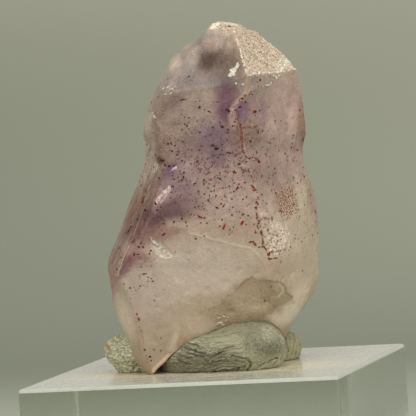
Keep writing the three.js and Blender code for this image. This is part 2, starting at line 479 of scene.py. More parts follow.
def network(place, size, width, strength):
    """Thin lines that meet in an uneven net."""
    values = {"Vector": place, "Scale": 1 / size}
    gap = put(place.tree, "TexVoronoi", values, "Distance", feature="DISTANCE_TO_EDGE")
    return ramp(gap, width / size, 0.3 * width / size) * strength


def leaning(place, degrees):
    """The place turned in the front view, so that stretched noise runs along a leaning edge."""
    values = {"Vector": place, "Angle": math.radians(-degrees)}
    return put(place.tree, "VectorRotate", values, rotation_type="Y_AXIS")


# The crystal

# Colour from the foot up: (height, colour)
CRYSTAL_HEIGHTS = (
    (0.0, (158, 138, 112)), (4.0, (166, 146, 122)), (9.0, (172, 154, 132)), (14.5, (170, 151, 131)),
    (18.0, (160, 138, 122)), (22.0, (146, 123, 114)), (27.0, (144, 121, 110)),
    (31.0, (152, 131, 119)),
    (35.0, (160, 141, 127)), (39.0, (172, 155, 137)), (41.0, (188, 174, 152)),
)

# Soft zones: name, colour, strength, centre, half size, tilt in the front view in degrees, softness
ZONES = (
    ("right half of the head", (170, 145, 136), 0.8, (9.9, 0, 28.8), (2.25, 14, 5.22), 1, 0.45),
    ("right side of the body", (179, 163, 143), 0.85, (11.0, 0, 14.8), (2.85, 14, 7.35), 4, 0.5),
    ("right edge of the head", (125, 95, 71), 0.75, (12.2, 0, 27.5), (0.59, 9, 3.08), 0, 0.6),
    ("right edge of the body", (153, 126, 112), 0.7, (12.9, 0, 18.9), (0.59, 9, 3.08), -4, 0.6),
    ("pale upper left face", (140, 129, 124), 0.8, (1.6, -3, 38.4), (1.90, 6, 1.78), 24, 0.5),
    ("mauve left face", (146, 137, 132), 0.7, (-1.4, -4, 35.8), (1.90, 6, 1.66), 39, 0.5),
    ("grey haze low on the left face", (131, 118, 116), 0.8, (-0.6, -6, 33.8), (3.56, 5, 0.95),
     -2, 0.6),
    ("grey violet beside the haze", (118, 118, 110), 0.7, (3.6, -7, 33.5), (1.54, 5, 0.95), 4, 0.6),
    ("pale haze at the left shoulder", (198, 181, 162), 0.9, (-2.5, -2, 36.2), (0.59, 6, 1.07),
     42, 0.6),
    ("right strip of the left face", (128, 103, 92), 0.6, (5.0, -5, 36.1), (0.71, 5, 2.37), -12,
     0.6),
    ("smoky wing", (86, 65, 58), 0.85, (3.0, -4, 35.9), (2.02, 5, 1.42), 9, 0.7),
    ("smoky spot", (74, 54, 42), 1, (1.4, -4, 36.2), (0.95, 5, 1.30), 22, 0.9),
    ("pink above the smoke", (147, 118, 104), 0.6, (1.6, -4, 37.9), (0.95, 5, 0.59), 4, 0.6),
    ("brown under the left face", (134, 111, 95), 0.85, (-4.5, -4, 31.3), (1.42, 6, 1.42), 4, 0.6),
    ("dark brown under the left face", (99, 70, 70), 0.6, (-2.7, -5, 31.9), (1.07, 5, 0.83), 4,
     0.7),
    ("beige middle of the head", (158, 135, 126), 0.7, (-0.4, -6, 30.4), (2.13, 5, 1.54), 4, 0.6),
    ("violet column", (101, 60, 78), 0.85, (3.4, -7, 31.7), (1.30, 5, 2.61), 8, 0.7),
    ("violet knot", (102, 65, 83), 0.9, (3.3, -7, 30.3), (0.95, 5, 0.95), 4, 0.8),
    ("pink fold beside the knot", (164, 134, 122), 0.6, (4.1, -7, 29.8), (0.42, 4, 0.95), 4, 0.6),
    ("violet right of the band", (111, 77, 105), 0.85, (5.1, -7, 30.1), (0.71, 5, 1.42), 9, 0.7),
    ("grey right of the band", (151, 121, 121), 0.7, (6.6, -6, 30.4), (1.07, 5, 1.54), 4, 0.6),
    ("thin violet line", (141, 110, 124), 0.6, (7.5, -6, 29.9), (0.36, 4, 2.02), 4, 0.7),
    ("violet middle", (122, 94, 111), 0.8, (1.6, -7, 27.4), (2.02, 5, 1.78), -11, 0.7),
    ("violet low middle", (72, 45, 78), 0.8, (1.8, -7, 25.0), (0.83, 5, 0.95), 4, 0.7),
    ("mauve right of the middle", (116, 85, 80), 0.7, (4.3, -7, 26.9), (1.42, 5, 1.90), 4, 0.7),
    ("mauve neck", (123, 93, 95), 0.6, (-0.2, -6, 25.0), (4.03, 6, 2.13), 4, 0.6),
    ("rosy neck right", (143, 120, 110), 0.7, (7.9, -5, 24.2), (3.08, 6, 2.61), 4, 0.6),
    ("clear left rim", (172, 151, 134), 0.9, (-6.0, 0, 27.3), (0.71, 9, 4.03), 2, 0.4),
    ("clear left rim low", (176, 157, 138), 0.85, (-6.5, -2, 22.9), (1.19, 8, 2.61), 26, 0.45),
    ("cream patch on the rim", (216, 189, 160), 0.7, (-5.6, -2, 30.2), (0.53, 6, 0.36), 4, 0.4),
    ("pale strokes on the rim", (204, 189, 167), 0.6, (-5.5, -3, 24.1), (0.24, 6, 0.71), 18, 0.5),
    ("brown inside the rim", (129, 101, 82), 0.75, (-4.5, -4, 26.1), (0.83, 6, 1.90), 4, 0.6),
    ("dark spot inside the rim", (71, 30, 12), 0.85, (-4.8, -5, 24.9), (0.59, 4, 0.47), 4, 0.7),
    ("violet edge", (87, 51, 80), 0.85, (-4.0, -6, 23.6), (0.71, 4, 1.30), 36, 0.7),
    ("pale neck patch", (149, 124, 122), 0.6, (-1.9, -6, 24.3), (0.95, 4, 0.83), 4, 0.7),
    ("olive strip", (113, 72, 62), 0.8, (-6.9, -3, 20.8), (1.07, 7, 2.85), 34, 0.6),
    ("mauve right of the highlight", (130, 99, 108), 0.75, (-2.8, -7, 21.5), (1.78, 5, 1.54), 24,
     0.7),
    ("dark band right", (93, 47, 52), 0.8, (-1.5, -7, 19.5), (2.13, 5, 1.07), -1, 0.7),
    ("dark band run", (93, 46, 48), 0.8, (-5.8, -6, 18.6), (3.80, 6, 0.95), -23, 0.55),
    ("dark band core", (80, 44, 47), 0.95, (-4.1, -7, 19.2), (2.49, 6, 0.95), 12, 0.75),
    ("dark band", (69, 30, 30), 0.95, (-6.6, -5, 18.1), (1.54, 8, 2.02), 46, 0.7),
    ("dark band low", (121, 80, 90), 0.9, (-8.1, -5, 16.9), (1.07, 8, 1.78), 42, 0.7),
    ("brown flank", (112, 66, 41), 0.8, (-9.1, -1, 19.0), (0.95, 9, 2.85), 32, 0.6),
    ("dark band left", (90, 51, 55), 0.9, (-7.3, -5, 17.6), (1.19, 7, 1.30), 39, 0.7),
    ("dark band shade", (95, 61, 65), 0.8, (-3.2, -7, 19.6), (1.66, 5, 0.83), -16, 0.7),
    ("pink flank", (108, 57, 57), 0.8, (-11.0, -1, 14.6), (1.07, 9, 2.85), 22, 0.6),
    ("pink side", (162, 105, 107), 0.75, (-11.6, -2, 10.2), (0.95, 8, 3.08), -4, 0.6),
    ("long pale chip", (200, 181, 173), 0.75, (-5.5, -7, 15.0), (1.36, 4, 0.50), 44, 0.15),
    ("pink brown above the chip", (129, 88, 76), 0.7, (-5.5, -7, 16.5), (2.37, 4, 0.95), -4, 0.7),
    ("pale above the wedge", (155, 118, 118), 0.7, (-8.2, -6, 14.9), (1.19, 4, 0.71), 4, 0.7),
    ("wedge", (131, 80, 77), 0.85, (-8.0, -6, 13.6), (2.02, 4, 0.95), 12, 0.5),
    ("violet wedge edge", (100, 43, 61), 0.9, (-9.7, -6, 12.8), (0.59, 4, 1.54), 42, 0.6),
    ("pink highlight glow", (145, 112, 108), 0.7, (-4.9, -7, 20.9), (0.71, 4, 1.66), 38, 0.7),
    ("pink highlight", (179, 153, 151), 0.5, (-4.7, -7, 21.1), (0.36, 4, 0.71), 40, 0.8),
    ("pink highlight low", (129, 87, 95), 0.7, (-5.8, -7, 19.7), (0.36, 4, 0.47), 4, 0.7),
    ("pink highlight upper", (135, 88, 88), 0.8, (-3.3, -6, 24.1), (0.47, 4, 0.36), 4, 0.7),
    ("milky body", (187, 173, 160), 0.75, (-1.1, -7, 12.2), (6.52, 6, 3.32), -4, 0.5),
    ("milky foot", (169, 154, 141), 0.7, (-7.2, -6, 8.8), (3.56, 6, 3.56), 4, 0.5),
    ("left of the foot ridge", (213, 193, 171), 0.9, (-10.2, -3, 6.9), (1.07, 6, 2.85), -10, 0.6),
    ("right of the foot ridge", (156, 137, 126), 0.6, (-9.0, -6, 10.1), (0.83, 4, 1.90), -8, 0.6),
    ("rosy body", (166, 143, 133), 0.6, (2.3, -8, 19.4), (4.03, 6, 1.90), 4, 0.6),
    ("white cluster", (180, 166, 154), 0.6, (8.1, -7, 15.7), (1.66, 4, 2.85), -14, 0.9),
    ("white cluster core", (167, 150, 136), 0.55, (8.9, -7, 14.5), (0.95, 4, 1.07), -16, 0.8),
    ("white cluster top", (164, 136, 121), 0.5, (6.5, -7, 18.0), (0.71, 4, 0.59), 4, 0.8),
    ("white wedge", (195, 176, 158), 0.4, (6.7, -7, 18.1), (0.71, 4, 0.24), 18, 0.6),
    ("white patch", (199, 182, 166), 0.35, (7.9, -7, 16.5), (0.71, 4, 0.71), -6, 0.5),
    ("white arc", (214, 199, 187), 0.45, (8.9, -7, 14.9), (0.65, 4, 0.36), 42, 0.4),
    ("white patch low", (199, 179, 163), 0.4, (7.6, -7, 14.2), (0.83, 4, 0.65), 24, 0.5),
    ("rosy right of the window", (239, 227, 208), 0.7, (9.5, -5, 5.7), (1.19, 5, 1.42), 39, 0.6),
    ("pale edge of the foot", (227, 215, 200), 0.4, (-5.2, -5, 3.3), (0.47, 6, 1.90), 26, 0.6),
    ("rosy low right", (216, 201, 178), 0.8, (9.9, -4, 7.3), (0.95, 8, 2.37), 34, 0.6),
    # Painted light: the strip just above the roll is laid near white to lift the putty's shade
    ("painted light over the roll", (252, 238, 216), 0.85, (8.1, -7.5, 4.6), (1.66, 4, 0.95), 49, 0.6),
    ("light under the crest", (216, 192, 174), 0.17, (2.4, -5, 38.0), (0.95, 5, 0.83), 4, 0.6),
    ("smoke left of the head", (138, 110, 96), 0.35, (-3.5, -5, 28.5), (1.19, 5, 1.07), 4, 0.6),
    ("band's upper edge", (104, 74, 74), 0.35, (-1.6, -7, 21.4), (1.07, 5, 0.71), 24, 0.6),
    ("band's left edge", (88, 54, 50), 0.4, (-9.0, -5, 16.5), (0.83, 5, 0.71), 39, 0.6),
    ("greenish beside the window", (145, 130, 95), 0.5, (9.2, -5, 7.7), (0.47, 5, 0.71), 14, 0.6),
    ("tan foot", (166, 149, 129), 0.85, (-6.9, -6, 2.9), (1.66, 4, 2.85), 16, 0.6),
    ("tan above the putty", (184, 166, 147), 0.7, (-2.1, -7, 5.6), (3.56, 4, 1.07), 22, 0.6),
    ("back violet band", (116, 92, 100), 0.75, (-0.1, 9, 17.5), (7.12, 6, 2.37), 29, 0.7),
    ("back smoke", (118, 102, 92), 0.7, (3.5, 6, 36.0), (3.08, 5, 2.37), 4, 0.7),
    ("back milky body", (178, 162, 142), 0.7, (0.0, 10, 10.1), (7.12, 6, 4.03), 14, 0.5),
    ("back violet knot", (100, 76, 92), 0.7, (6.0, 8, 27.4), (2.13, 5, 2.85), -6, 0.8),
)

# Lines of the front, as chains of (x, z) corners
PINK_BAND = (
    (7.00, 33.35), (6.26, 32.81), (5.63, 32.21), (5.02, 31.79), (4.40, 31.19), (3.95, 30.63),
    (3.75, 30.18),
)
PINK_BAND_LOW = ((3.75, 30.18), (3.81, 29.36), (4.09, 28.40))
BAND_GRAINS = (
    (7.26, 33.80), (6.97, 33.00), (6.10, 32.24), (5.24, 31.60), (4.62, 30.94), (4.21, 30.15),
    (4.27, 29.21), (4.44, 28.38),
)
CURVED_STEP = (
    (-2.08, 16.52), (-0.82, 16.14), (0.66, 15.58), (2.15, 15.12), (3.74, 14.55), (4.90, 14.29),
)
CURVED_STEP_LOW = ((4.90, 14.29), (5.66, 13.48), (6.41, 12.50), (6.80, 11.30), (6.86, 10.47))
LEFT_CREASE = ((-9.19, 15.31), (-10.00, 13.84), (-10.84, 11.78))
CHIP_UPPER = ((-6.66, 16.25), (-5.78, 15.49), (-4.89, 14.72), (-4.37, 13.87))
CHIP_LOWER = ((-6.63, 14.96), (-5.87, 14.20), (-5.08, 13.68), (-4.37, 13.75))
FACE_RIM = ((4.71, 39.89), (5.02, 38.47), (5.46, 36.33), (5.92, 34.43))
FACE_FOOT = ((5.93, 34.34), (7.69, 34.40), (9.80, 34.32), (11.80, 34.42))
APEX_RIM = ((1.93, 40.27), (2.49, 40.64), (3.09, 40.80), (4.14, 40.65), (5.06, 40.29))
LEFT_FACE_EDGE = ((-2.37, 33.02), (-0.14, 33.22), (2.45, 33.46))
FOOT_EDGE = ((-7.27, 0.49), (-6.02, 1.59), (-4.42, 2.66), (-2.85, 3.43), (-0.94, 3.89))
WINDOW_RIM = (
    (2.15, 8.98), (3.83, 10.39), (4.79, 10.85), (6.64, 10.46), (8.01, 9.99), (9.01, 9.11),
    (8.91, 8.53),
    (9.53, 8.13),
)
# A painted highlight: a thin pale line just inside the window's rim
WINDOW_HIGHLIGHT = ((7.77, 9.84), (8.32, 9.39), (8.45, 8.67), (7.95, 8.12))
HIGHLIGHT = ((-5.62, 20.38), (-4.81, 21.15), (-4.00, 21.85))
HIGHLIGHT_SIDE = ((-5.23, 20.12), (-4.54, 20.78), (-3.71, 21.89))
HIGHLIGHT_LOW = ((-6.14, 19.71), (-5.52, 20.14))
HIGHLIGHT_TOP = ((-3.70, 23.80), (-3.09, 24.11))
HIGHLIGHT_PALE = ((-1.78, 24.43), (-1.05, 24.85))
BODY_RIPPLE = ((-3.99, 8.99), (-2.87, 8.32), (-1.49, 8.00), (-0.07, 8.19))
BODY_VEIL = ((-5.95, 12.93), (-4.61, 12.02), (-3.41, 10.65), (-2.71, 8.96))
LEFT_RIM_LINE = ((-6.23, 29.48), (-6.42, 27.60), (-6.48, 25.83))
RUST_LINE = (
    (4.51, 30.25), (4.61, 29.78), (4.50, 29.32), (4.64, 28.84), (4.78, 28.24), (4.74, 27.55),
    (4.83, 26.72), (4.74, 25.91), (4.83, 25.44), (5.20, 24.83),
)
RUST_LOW = (
    (5.76, 22.00), (5.71, 21.19), (6.10, 19.99), (5.93, 19.30), (5.87, 18.37), (6.04, 17.42),
    (6.21, 16.48), (6.41, 15.88), (6.47, 15.05), (6.42, 14.36), (6.84, 13.62), (7.02, 12.79),
)
FOOT_RUST = (
    (-8.91, 7.43), (-8.62, 6.47), (-8.38, 4.92), (-8.25, 3.27), (-7.90, 1.59), (-7.74, 0.52),
)
RUST_BRANCHES = (
    ((4.78, 28.18), (5.38, 28.37), (6.06, 28.09), (6.66, 28.34)),
    ((5.72, 24.67), (6.41, 24.62), (6.61, 24.02)),
    ((4.25, 23.72), (4.69, 23.34), (5.37, 23.06)),
    ((5.84, 23.08), (6.79, 23.31)),
    ((5.47, 22.83), (5.88, 21.99)),
    ((4.71, 14.94), (5.30, 15.02), (5.50, 14.53)),
    ((5.83, 14.28), (6.42, 14.36)),
    ((7.08, 13.58), (8.02, 13.63), (8.96, 13.68)),
    ((7.15, 12.87), (8.09, 12.86)),
    ((6.29, 17.55), (7.23, 17.55)),
    ((7.57, 15.65), (8.48, 15.36)),
    ((4.84, 25.55), (3.99, 25.14), (2.85, 25.57)),
)

# Outline of the crest as it falls to the right
CREST_TOP = (
    (5.20, 40.51), (5.54, 40.28), (5.98, 39.87), (6.43, 39.49), (6.89, 39.38), (7.36, 39.28),
    (8.04, 38.90),
)

# Slight swells of the outline: x, z, radius, rise
SWELLS = (
    (-1.63, 37.32, 2.6, 0.45), (-3.02, 35.88, 1.6, 0.25), (-4.32, 34.09, 2, 0.35),
    (-6.42, 28.33, 1.7, 0.35), (10.58, 36.38, 2.8, 0.3),
)

# Outline of the clear window above the putty, in the front view
WINDOW = (
    (-0.47, 7.40), (0.14, 7.77), (0.97, 7.95), (1.60, 8.55), (2.15, 8.98), (2.82, 9.41),
    (3.31, 9.73),
    (3.83, 10.39), (4.32, 10.77), (4.79, 10.85), (5.36, 10.58), (5.93, 10.35), (6.64, 10.46),
    (7.34, 10.39), (8.01, 9.99), (8.63, 9.60), (9.01, 9.11), (8.91, 8.53), (9.53, 8.13),
    (9.74, 7.82),
    (9.26, 7.56), (8.42, 7.33), (7.88, 7.07), (7.32, 6.64), (6.94, 6.25), (6.23, 6.01),
    (5.72, 5.45),
    (4.83, 4.34), (2.56, 3.79), (1.41, 4.10), (0.43, 5.11), (-0.13, 6.44),
)

# Pale streaks: colour, strength, width, chain of corners, and whether it is broken into pieces
STREAKS = (
    ((188, 158, 144), 0.42, 0.44, PINK_BAND, True),
    ((198, 168, 150), 0.35, 0.16, PINK_BAND, True),
    ((184, 156, 146), 0.45, 0.6, PINK_BAND_LOW, True),
    # The two curved-step rows are partly a pale tone change and partly a painted highlight along
    # the step's edge
    ((204, 188, 166), 0.45, 0.14, CURVED_STEP, False),
    ((190, 174, 152), 0.3, 0.14, CURVED_STEP_LOW, False),
    ((208, 184, 162), 0.65, 0.08, LEFT_CREASE, False),
    ((214, 212, 194), 0.7, 0.10, CHIP_UPPER, True),
    ((214, 212, 194), 0.7, 0.10, CHIP_LOWER, True),
    ((190, 174, 164), 0.18, 0.3, LEFT_FACE_EDGE, False),
    ((226, 202, 180), 0.8, 0.42, FOOT_EDGE, False),
    # The next five rows are painted highlights
    ((236, 216, 202), 0.65, 0.27, HIGHLIGHT, True),
    ((226, 202, 198), 0.35, 0.14, HIGHLIGHT_SIDE, True),
    ((214, 176, 180), 0.7, 0.16, HIGHLIGHT_LOW, True),
    ((214, 192, 224), 0.7, 0.18, HIGHLIGHT_TOP, True),
    ((206, 180, 170), 0.25, 0.4, HIGHLIGHT_PALE, True),
    ((196, 180, 158), 0.35, 0.14, BODY_RIPPLE, True),
    ((198, 184, 166), 0.3, 0.5, BODY_VEIL, True),
    ((214, 190, 166), 0.5, 0.14, LEFT_RIM_LINE, True),
)


def add_streaks(colour, place):
    """Lays the pale streaks and painted highlights, a little uneven, and broken into pieces where
    the table says so.
    """
    uneven = place + (mist(place, 2.2, output="Color") - (0.5, 0.5, 0.5)) * 0.36
    breaks = veil(place, (0.5, 0.5, 0.5), 0.36, 0.52)
    for shade, strength, width, line, broken in STREAKS:
        mask = line_mask(uneven, line, width, strength)
        colour = lay(colour, mask * breaks if broken else mask, shade)
    return colour


def beyond_line(place, a, b, softness):
    """1 right of a line of the front that runs upward, or above one that runs to the right."""
    across = Vector((b[0] - a[0], b[1] - a[1])).normalized()
    side = 1 if across.x > abs(across.y) else -1
    direction = (-side * across.y, 0, side * across.x)
    reach = combine("DOT_PRODUCT", place - (a[0], 0, a[1]), direction, output="Value")
    return ramp(reach, -softness, softness)


def crust_face(place, corners, reach):
    """1 close to the plane through three corners and 0 away from it."""
    a, b, c = (Vector(corner) for corner in corners)
    across = (b - a).cross(c - a).normalized()
    gap = abs(combine("DOT_PRODUCT", place - tuple(a), tuple(across), output="Value"))
    return ramp(gap, reach * 1.4, reach * 0.6)


def sugary_crust(colour, place, wandering):
    """Lays the crust of the white face and of the crest, and gives it as a mask too."""
    white_face = crust_face(place, WHITE_FACE, 1.0)
    for a, b in ((FACE_RIM[-1], FACE_RIM[0]), (FACE_FOOT[0], FACE_FOOT[-1])):
        white_face = white_face * beyond_line(place, a, b, 0.12)
    crest = zone(wandering, CREST_MIDDLE, CREST_SIZE, 0, 0.4)
    crust = either(white_face, crest * veil(place, (0.7, 0.7, 0.5), 0.3, 0.5))
    sugar = lay((178, 155, 134), veil(place, (0.8, 0.8, 0.8), 0.36, 0.62), (198, 181, 161))
    bright_end = zone(wandering, (10.6, -1, 35.2), (1.5, 4, 1.3), 0, 0.6, 0.7)
    sugar = lay(sugar, bright_end, (200, 189, 170))
    bright_crest = zone(wandering, (3.4, -2, 40.8), (2.6, 5, 0.9), 0, 0.6, 0.7)
    sugar = lay(sugar, bright_crest, (186, 174, 152))
    sugar = lay(sugar, veil(place, (0.34, 0.34, 0.3), 0.54, 0.6, 0.8), (226, 216, 198))
    sugar = lay(sugar, veil(wandering, (0.32, 0.32, 0.28), 0.56, 0.61, 0.75), (160, 116, 90))
    colour = lay(colour, crust, sugar)
    # The crest's rim is laid pale as crust and partly as a painted highlight; the face's foot as a
    # pale crust rim
    top_rim = line_mask(wandering, APEX_RIM, 0.36, 0.85)
    rims = either(top_rim, line_mask(place, FACE_FOOT, 0.14, 0.9))
    rims = rims * veil(place, (0.34, 0.34, 0.34), 0.42, 0.54)
    return lay(colour, rims, (220, 210, 190)), either(crust, rims)


def crystal_colour(place, wandering):
    """Base colour and the crust mask of the crystal's surface."""
    _, _, height = axes(wandering)
    colour = put(place.tree, "ValToRGB", {0: ramp(height, 0.0, CRYSTAL_TOP, "LINEAR")})
    stops = colour.socket.node.color_ramp.elements
    for number, (level, shade) in enumerate(CRYSTAL_HEIGHTS):
        stop = stops[number] if number < 2 else stops.new(level / CRYSTAL_TOP)
        stop.position, stop.color = level / CRYSTAL_TOP, tone(*shade)
    for name, shade, strength, centre, half, tilt, softness in ZONES:
        mask = zone(wandering, centre, half, tilt, softness, strength)
        mask.socket.node.label = name
        colour = lay(colour, mask, shade)

    # Cloudy veils and fine mottling, strong in the neck and faint in the milky body
    light = reduce(mul, (mottle(near, size, depth) for near, size, depth in (
        (wandering, (1.9, 2.6, 3.4), 0.13), (wandering, (0.8, 1.2, 1.0), 0.10),
        (place, (0.36, 0.5, 0.42), 0.08), (place, (0.15, 0.3, 0.18), 0.08),
    )))
    busy = rescale(ramp(height, 12.0, 21.0), 0.0, 1.0, 0.3, 1.0)
    colour = colour * ((light - 1.0) * busy + 1.0)

    # Streaky left flank and the fine level lines of the dark band
    flank = zone(wandering, (-8.6, -2, 18.5), (2.6, 7, 8.0), 28, 0.4)
    smoky_streaks = veil(leaning(wandering, 29), (0.28, 0.6, 3.2), 0.47, 0.6, 0.65)
    colour = lay(colour, flank * smoky_streaks, (112, 84, 68))
    pale_streaks = veil(leaning(place, 27), (0.2, 0.5, 2.6), 0.54, 0.64, 0.55)
    colour = lay(colour, flank * pale_streaks, (176, 158, 134))
    band = zone(wandering, (-3.0, -7, 20.6), (3.4, 5, 2.2), 10, 0.5)
    level_lines = veil(leaning(place, 86), (0.16, 0.6, 1.6), 0.48, 0.62, 0.35)
    colour = lay(colour, band * level_lines, (80, 60, 66))
    colour = add_streaks(colour, place)

    # The rusty net of the stain and the pale grains of the white cluster
    stain = zone(wandering, (9.4, -5, 18.9), (1.15, 5, 2.3), -12, 0.5)
    colour = lay(colour, stain * network(wandering, 0.46, 0.06, 0.25), (160, 100, 66))
    cluster = zone(wandering, (8.1, -6, 15.2), (1.5, 5, 2.2), -12, 0.6)
    cluster = cluster * veil(place, (0.5, 0.5, 0.6), 0.48, 0.55, 0.55)
    colour = lay(colour, cluster, (206, 191, 174))
    return sugary_crust(colour, place, wandering)


def absorb(output, colour, density):
    """Lets the inside of a clear material take up a little of the light."""
    values = {"Color": (*colour, 1.0), "Density": density}
    plug(output, {"Volume": put(output.id_data, "VolumeAbsorption", values)})


def finish_crystal(surface, output, place, wandering, crust, transmission, roughness):
    """Gloss, fine relief and the cloudy inside, the same for milky and clear crystal."""
    rough = rescale(mist(place, 0.9, 3.0), 0.3, 0.7, roughness - 0.08, roughness + 0.1)
    rough = combine("ADD", rough, crust * 0.3, use_clamp=True)
    dents = mist(place, 1 / 0.8, 3.0, 0.6) * 0.10
    grains = mist(place, 1 / 0.2, 4.0, 0.6) * (0.04 + crust * 0.09)
    fibres = mist(wandering / (0.45, 0.6, 3.0), 1.0, 3.0) * 0.05
    plug(surface, {
        "Roughness": rough, "Normal": bump(dents + grains + fibres, MM), "IOR": QUARTZ_IOR,
        "Specular IOR Level": 0.3, "Transmission Weight": transmission,
        "Subsurface Weight": 0.35, "Subsurface Radius": (1.0, 0.72, 0.6),
        "Subsurface Scale": 0.8 * MM,
    })
    absorb(output, (0.95, 0.91, 0.9), 70.0)


def crystal_material():
    material, surface, output, object_place = start_material("milky smoky quartz")
    place, wandering = specimen_places(object_place, 0.45, 0.16)
    colour, crust = crystal_colour(place, wandering)
    plug(surface, {"Base Color": colour})
    finish_crystal(surface, output, place, wandering, crust, 0.12, 0.32)
    return material


def window_material():
    """The clear smoky window: grey brown with brown wisps, pale threads, a greenish rim and a
    painted highlight line.
    """
    material, surface, output, object_place = start_material("clear smoky window")
    place, wandering = specimen_places(object_place, 0.45, 0.16)
    colour = lay((180, 157, 127), veil(wandering, (2.6, 3.0, 1.6), 0.35, 0.65), (194, 172, 143))
    upper = zone(wandering, (4.6, -7, 10.0), (3.4, 5, 1.4), 0, 0.6, 0.8)
    colour = lay(colour, upper, (210, 186, 158))
    green = zone(wandering, (9.0, -7, 9.0), (1.2, 4, 1.6), 25, 0.5, 0.6)
    colour = lay(colour, green, (184, 170, 136))
    brown = zone(wandering, (6.1, -7, 7.9), (0.9, 4, 0.7), 0, 0.6, 0.6)
    colour = lay(colour, brown * veil(place, (0.3, 0.3, 0.24), 0.52, 0.62), (150, 116, 76))
    threads = veil(leaning(wandering, 70), (0.2, 0.4, 2.4), 0.56, 0.66, 0.25)
    colour = lay(colour, threads, (214, 198, 170))
    colour = lay(colour, line_mask(place, WINDOW_RIM, 0.34, 0.6), (146, 134, 100))
    # The painted highlight line inside the rim
    colour = lay(colour, line_mask(wandering, WINDOW_HIGHLIGHT, 0.16, 0.6), (228, 216, 188))
    plug(surface, {"Base Color": colour})
    finish_crystal(surface, output, place, wandering, threads * 0.2, 0.42, 0.22)
    return material


def crystal_relief(mesh):
    """Softens the broken body, keeps the head crisp, and adds ripples, steps, chips and crust."""
    relax(mesh, 0.55 - 0.35 * smooth(read(mesh.vertices, "co")[:, 2], 25.0, 31.0), 7)
    points, normals = read(mesh.vertices, "co"), read(mesh.vertices, "normal")
    head = smooth(points[:, 2], 27.0, 32.0)
    body = 1.0 - head
    front = smooth(normals[:, 1], 0.1, -0.3)

    lift = body * (0.13 * cloud(points, 3.4, 1, (1, 1, 1.6)) + 0.06 * cloud(points, 1.3, 2))
    lift += head * (0.035 * cloud(points, 2.4, 3) + 0.014 * cloud(points, 0.9, 4))
    lift += 0.014 * cloud(points, 0.42, 5)

    # Small dents where grains broke out of the skin
    lift -= body * 0.10 * smooth(cloud(points, 0.95, 6), 0.38, 0.62)

    # Raised lines and steps of the front, rust that lies a little low, and slight swells
    for line, width, rise in (
        (CURVED_STEP, 0.2, 0.06), (CURVED_STEP_LOW, 0.22, 0.04), (LEFT_CREASE, 0.2, 0.09),
        (CHIP_UPPER, 0.2, 0.06), (CHIP_LOWER, 0.2, 0.05), (FOOT_EDGE, 0.3, 0.05),
        (APEX_RIM, 0.5, 0.05),
    ):
        lift += rise * front * smooth(distance_to_line(points, line), width, width * 0.2)
    for line in (RUST_LINE, RUST_LOW):
        lift -= 0.05 * front * smooth(distance_to_line(points, line), 0.24, 0.05)
    for x, z, radius, rise in SWELLS:
        away = np.hypot(points[:, 0] - x, points[:, 2] - z)
        lift += rise * smooth(away, radius, 0.2 * radius)

    # Sugary crust of the white face and of the crest
    slope = np.abs(face_distance(points, WHITE_FACE))
    crest = np.linalg.norm((points - np.array(CREST_MIDDLE)) / np.array(CREST_SIZE), axis=1)
    crest = smooth(crest, 1.3, 0.8)
    crusted = np.maximum(smooth(slope, 0.4, 0.2), crest)
    lift += crusted * (0.04 * cloud(points, 0.5, 7) + 0.03 * cloud(points, 0.26, 8) - 0.01)
    lift += 0.07 * crest * smooth(points[:, 0], 4.0, 2.5) * cloud(points, 0.7, 9)
    points[:, 2] -= height_over(points, CREST_TOP)
    points += normals * lift[:, None]

    # The sharp lower edge of the foot stands out to the right, over the putty
    run = np.array(FOOT_EDGE[-1]) - np.array(FOOT_EDGE[0])
    outward = np.array((run[1], 0, -run[0])) / np.hypot(*run)
    near = smooth(distance_to_line(points, FOOT_EDGE), 1.5, 0.2)
    near = near * smooth(points[:, 1], -1.5, -3.0)
    points += 0.45 * (near * smooth(points[:, 2], 0.4, 2.2))[:, None] * outward
    tip = smooth(points[:, 2], 1.8, 0.0) * smooth(points[:, 1], -2.0, -3.5)
    points[:, 0] -= 0.45 * tip * (points[:, 0] - (-7.55 + 0.3 * points[:, 2]))

    # The foot comes down to touch the block
    points[:, 2] -= 0.27 * smooth(points[:, 2], 4.0, 0.3)
    points[:, 2] = np.maximum(points[:, 2], 0.012)
    write_points(mesh, points)


def window_faces(mesh):
    """Which faces belong to the clear window above the putty."""
    middles = read(mesh.polygons, "center")
    ragged = middles + clouds(middles, 0.22, 0.7, (11, 12, 13))
    return inside(ragged, WINDOW) & (middles[:, 1] < -2.0)


def make_crystal():
    """Makes the crystal, and gives its finished skin for flakes and putty to lie on."""
    mesh = even_mesh("scepter_crystal", CRYSTAL_SPACING)
    crystal_relief(mesh)
    mesh.polygons.foreach_set("material_index", window_faces(mesh).astype(int))
    shade_smooth(mesh)
    skin = BVHTree.FromPolygons(
        [v.co.copy() for v in mesh.vertices], [tuple(p.vertices) for p in mesh.polygons])
    mesh.transform(SPECIMEN_TO_WORLD)
    materials = [crystal_material(), window_material()]
    add_piece("crystal", mesh, materials, "scepter_crystal")
    return skin


# Flakes and grains on the crystal

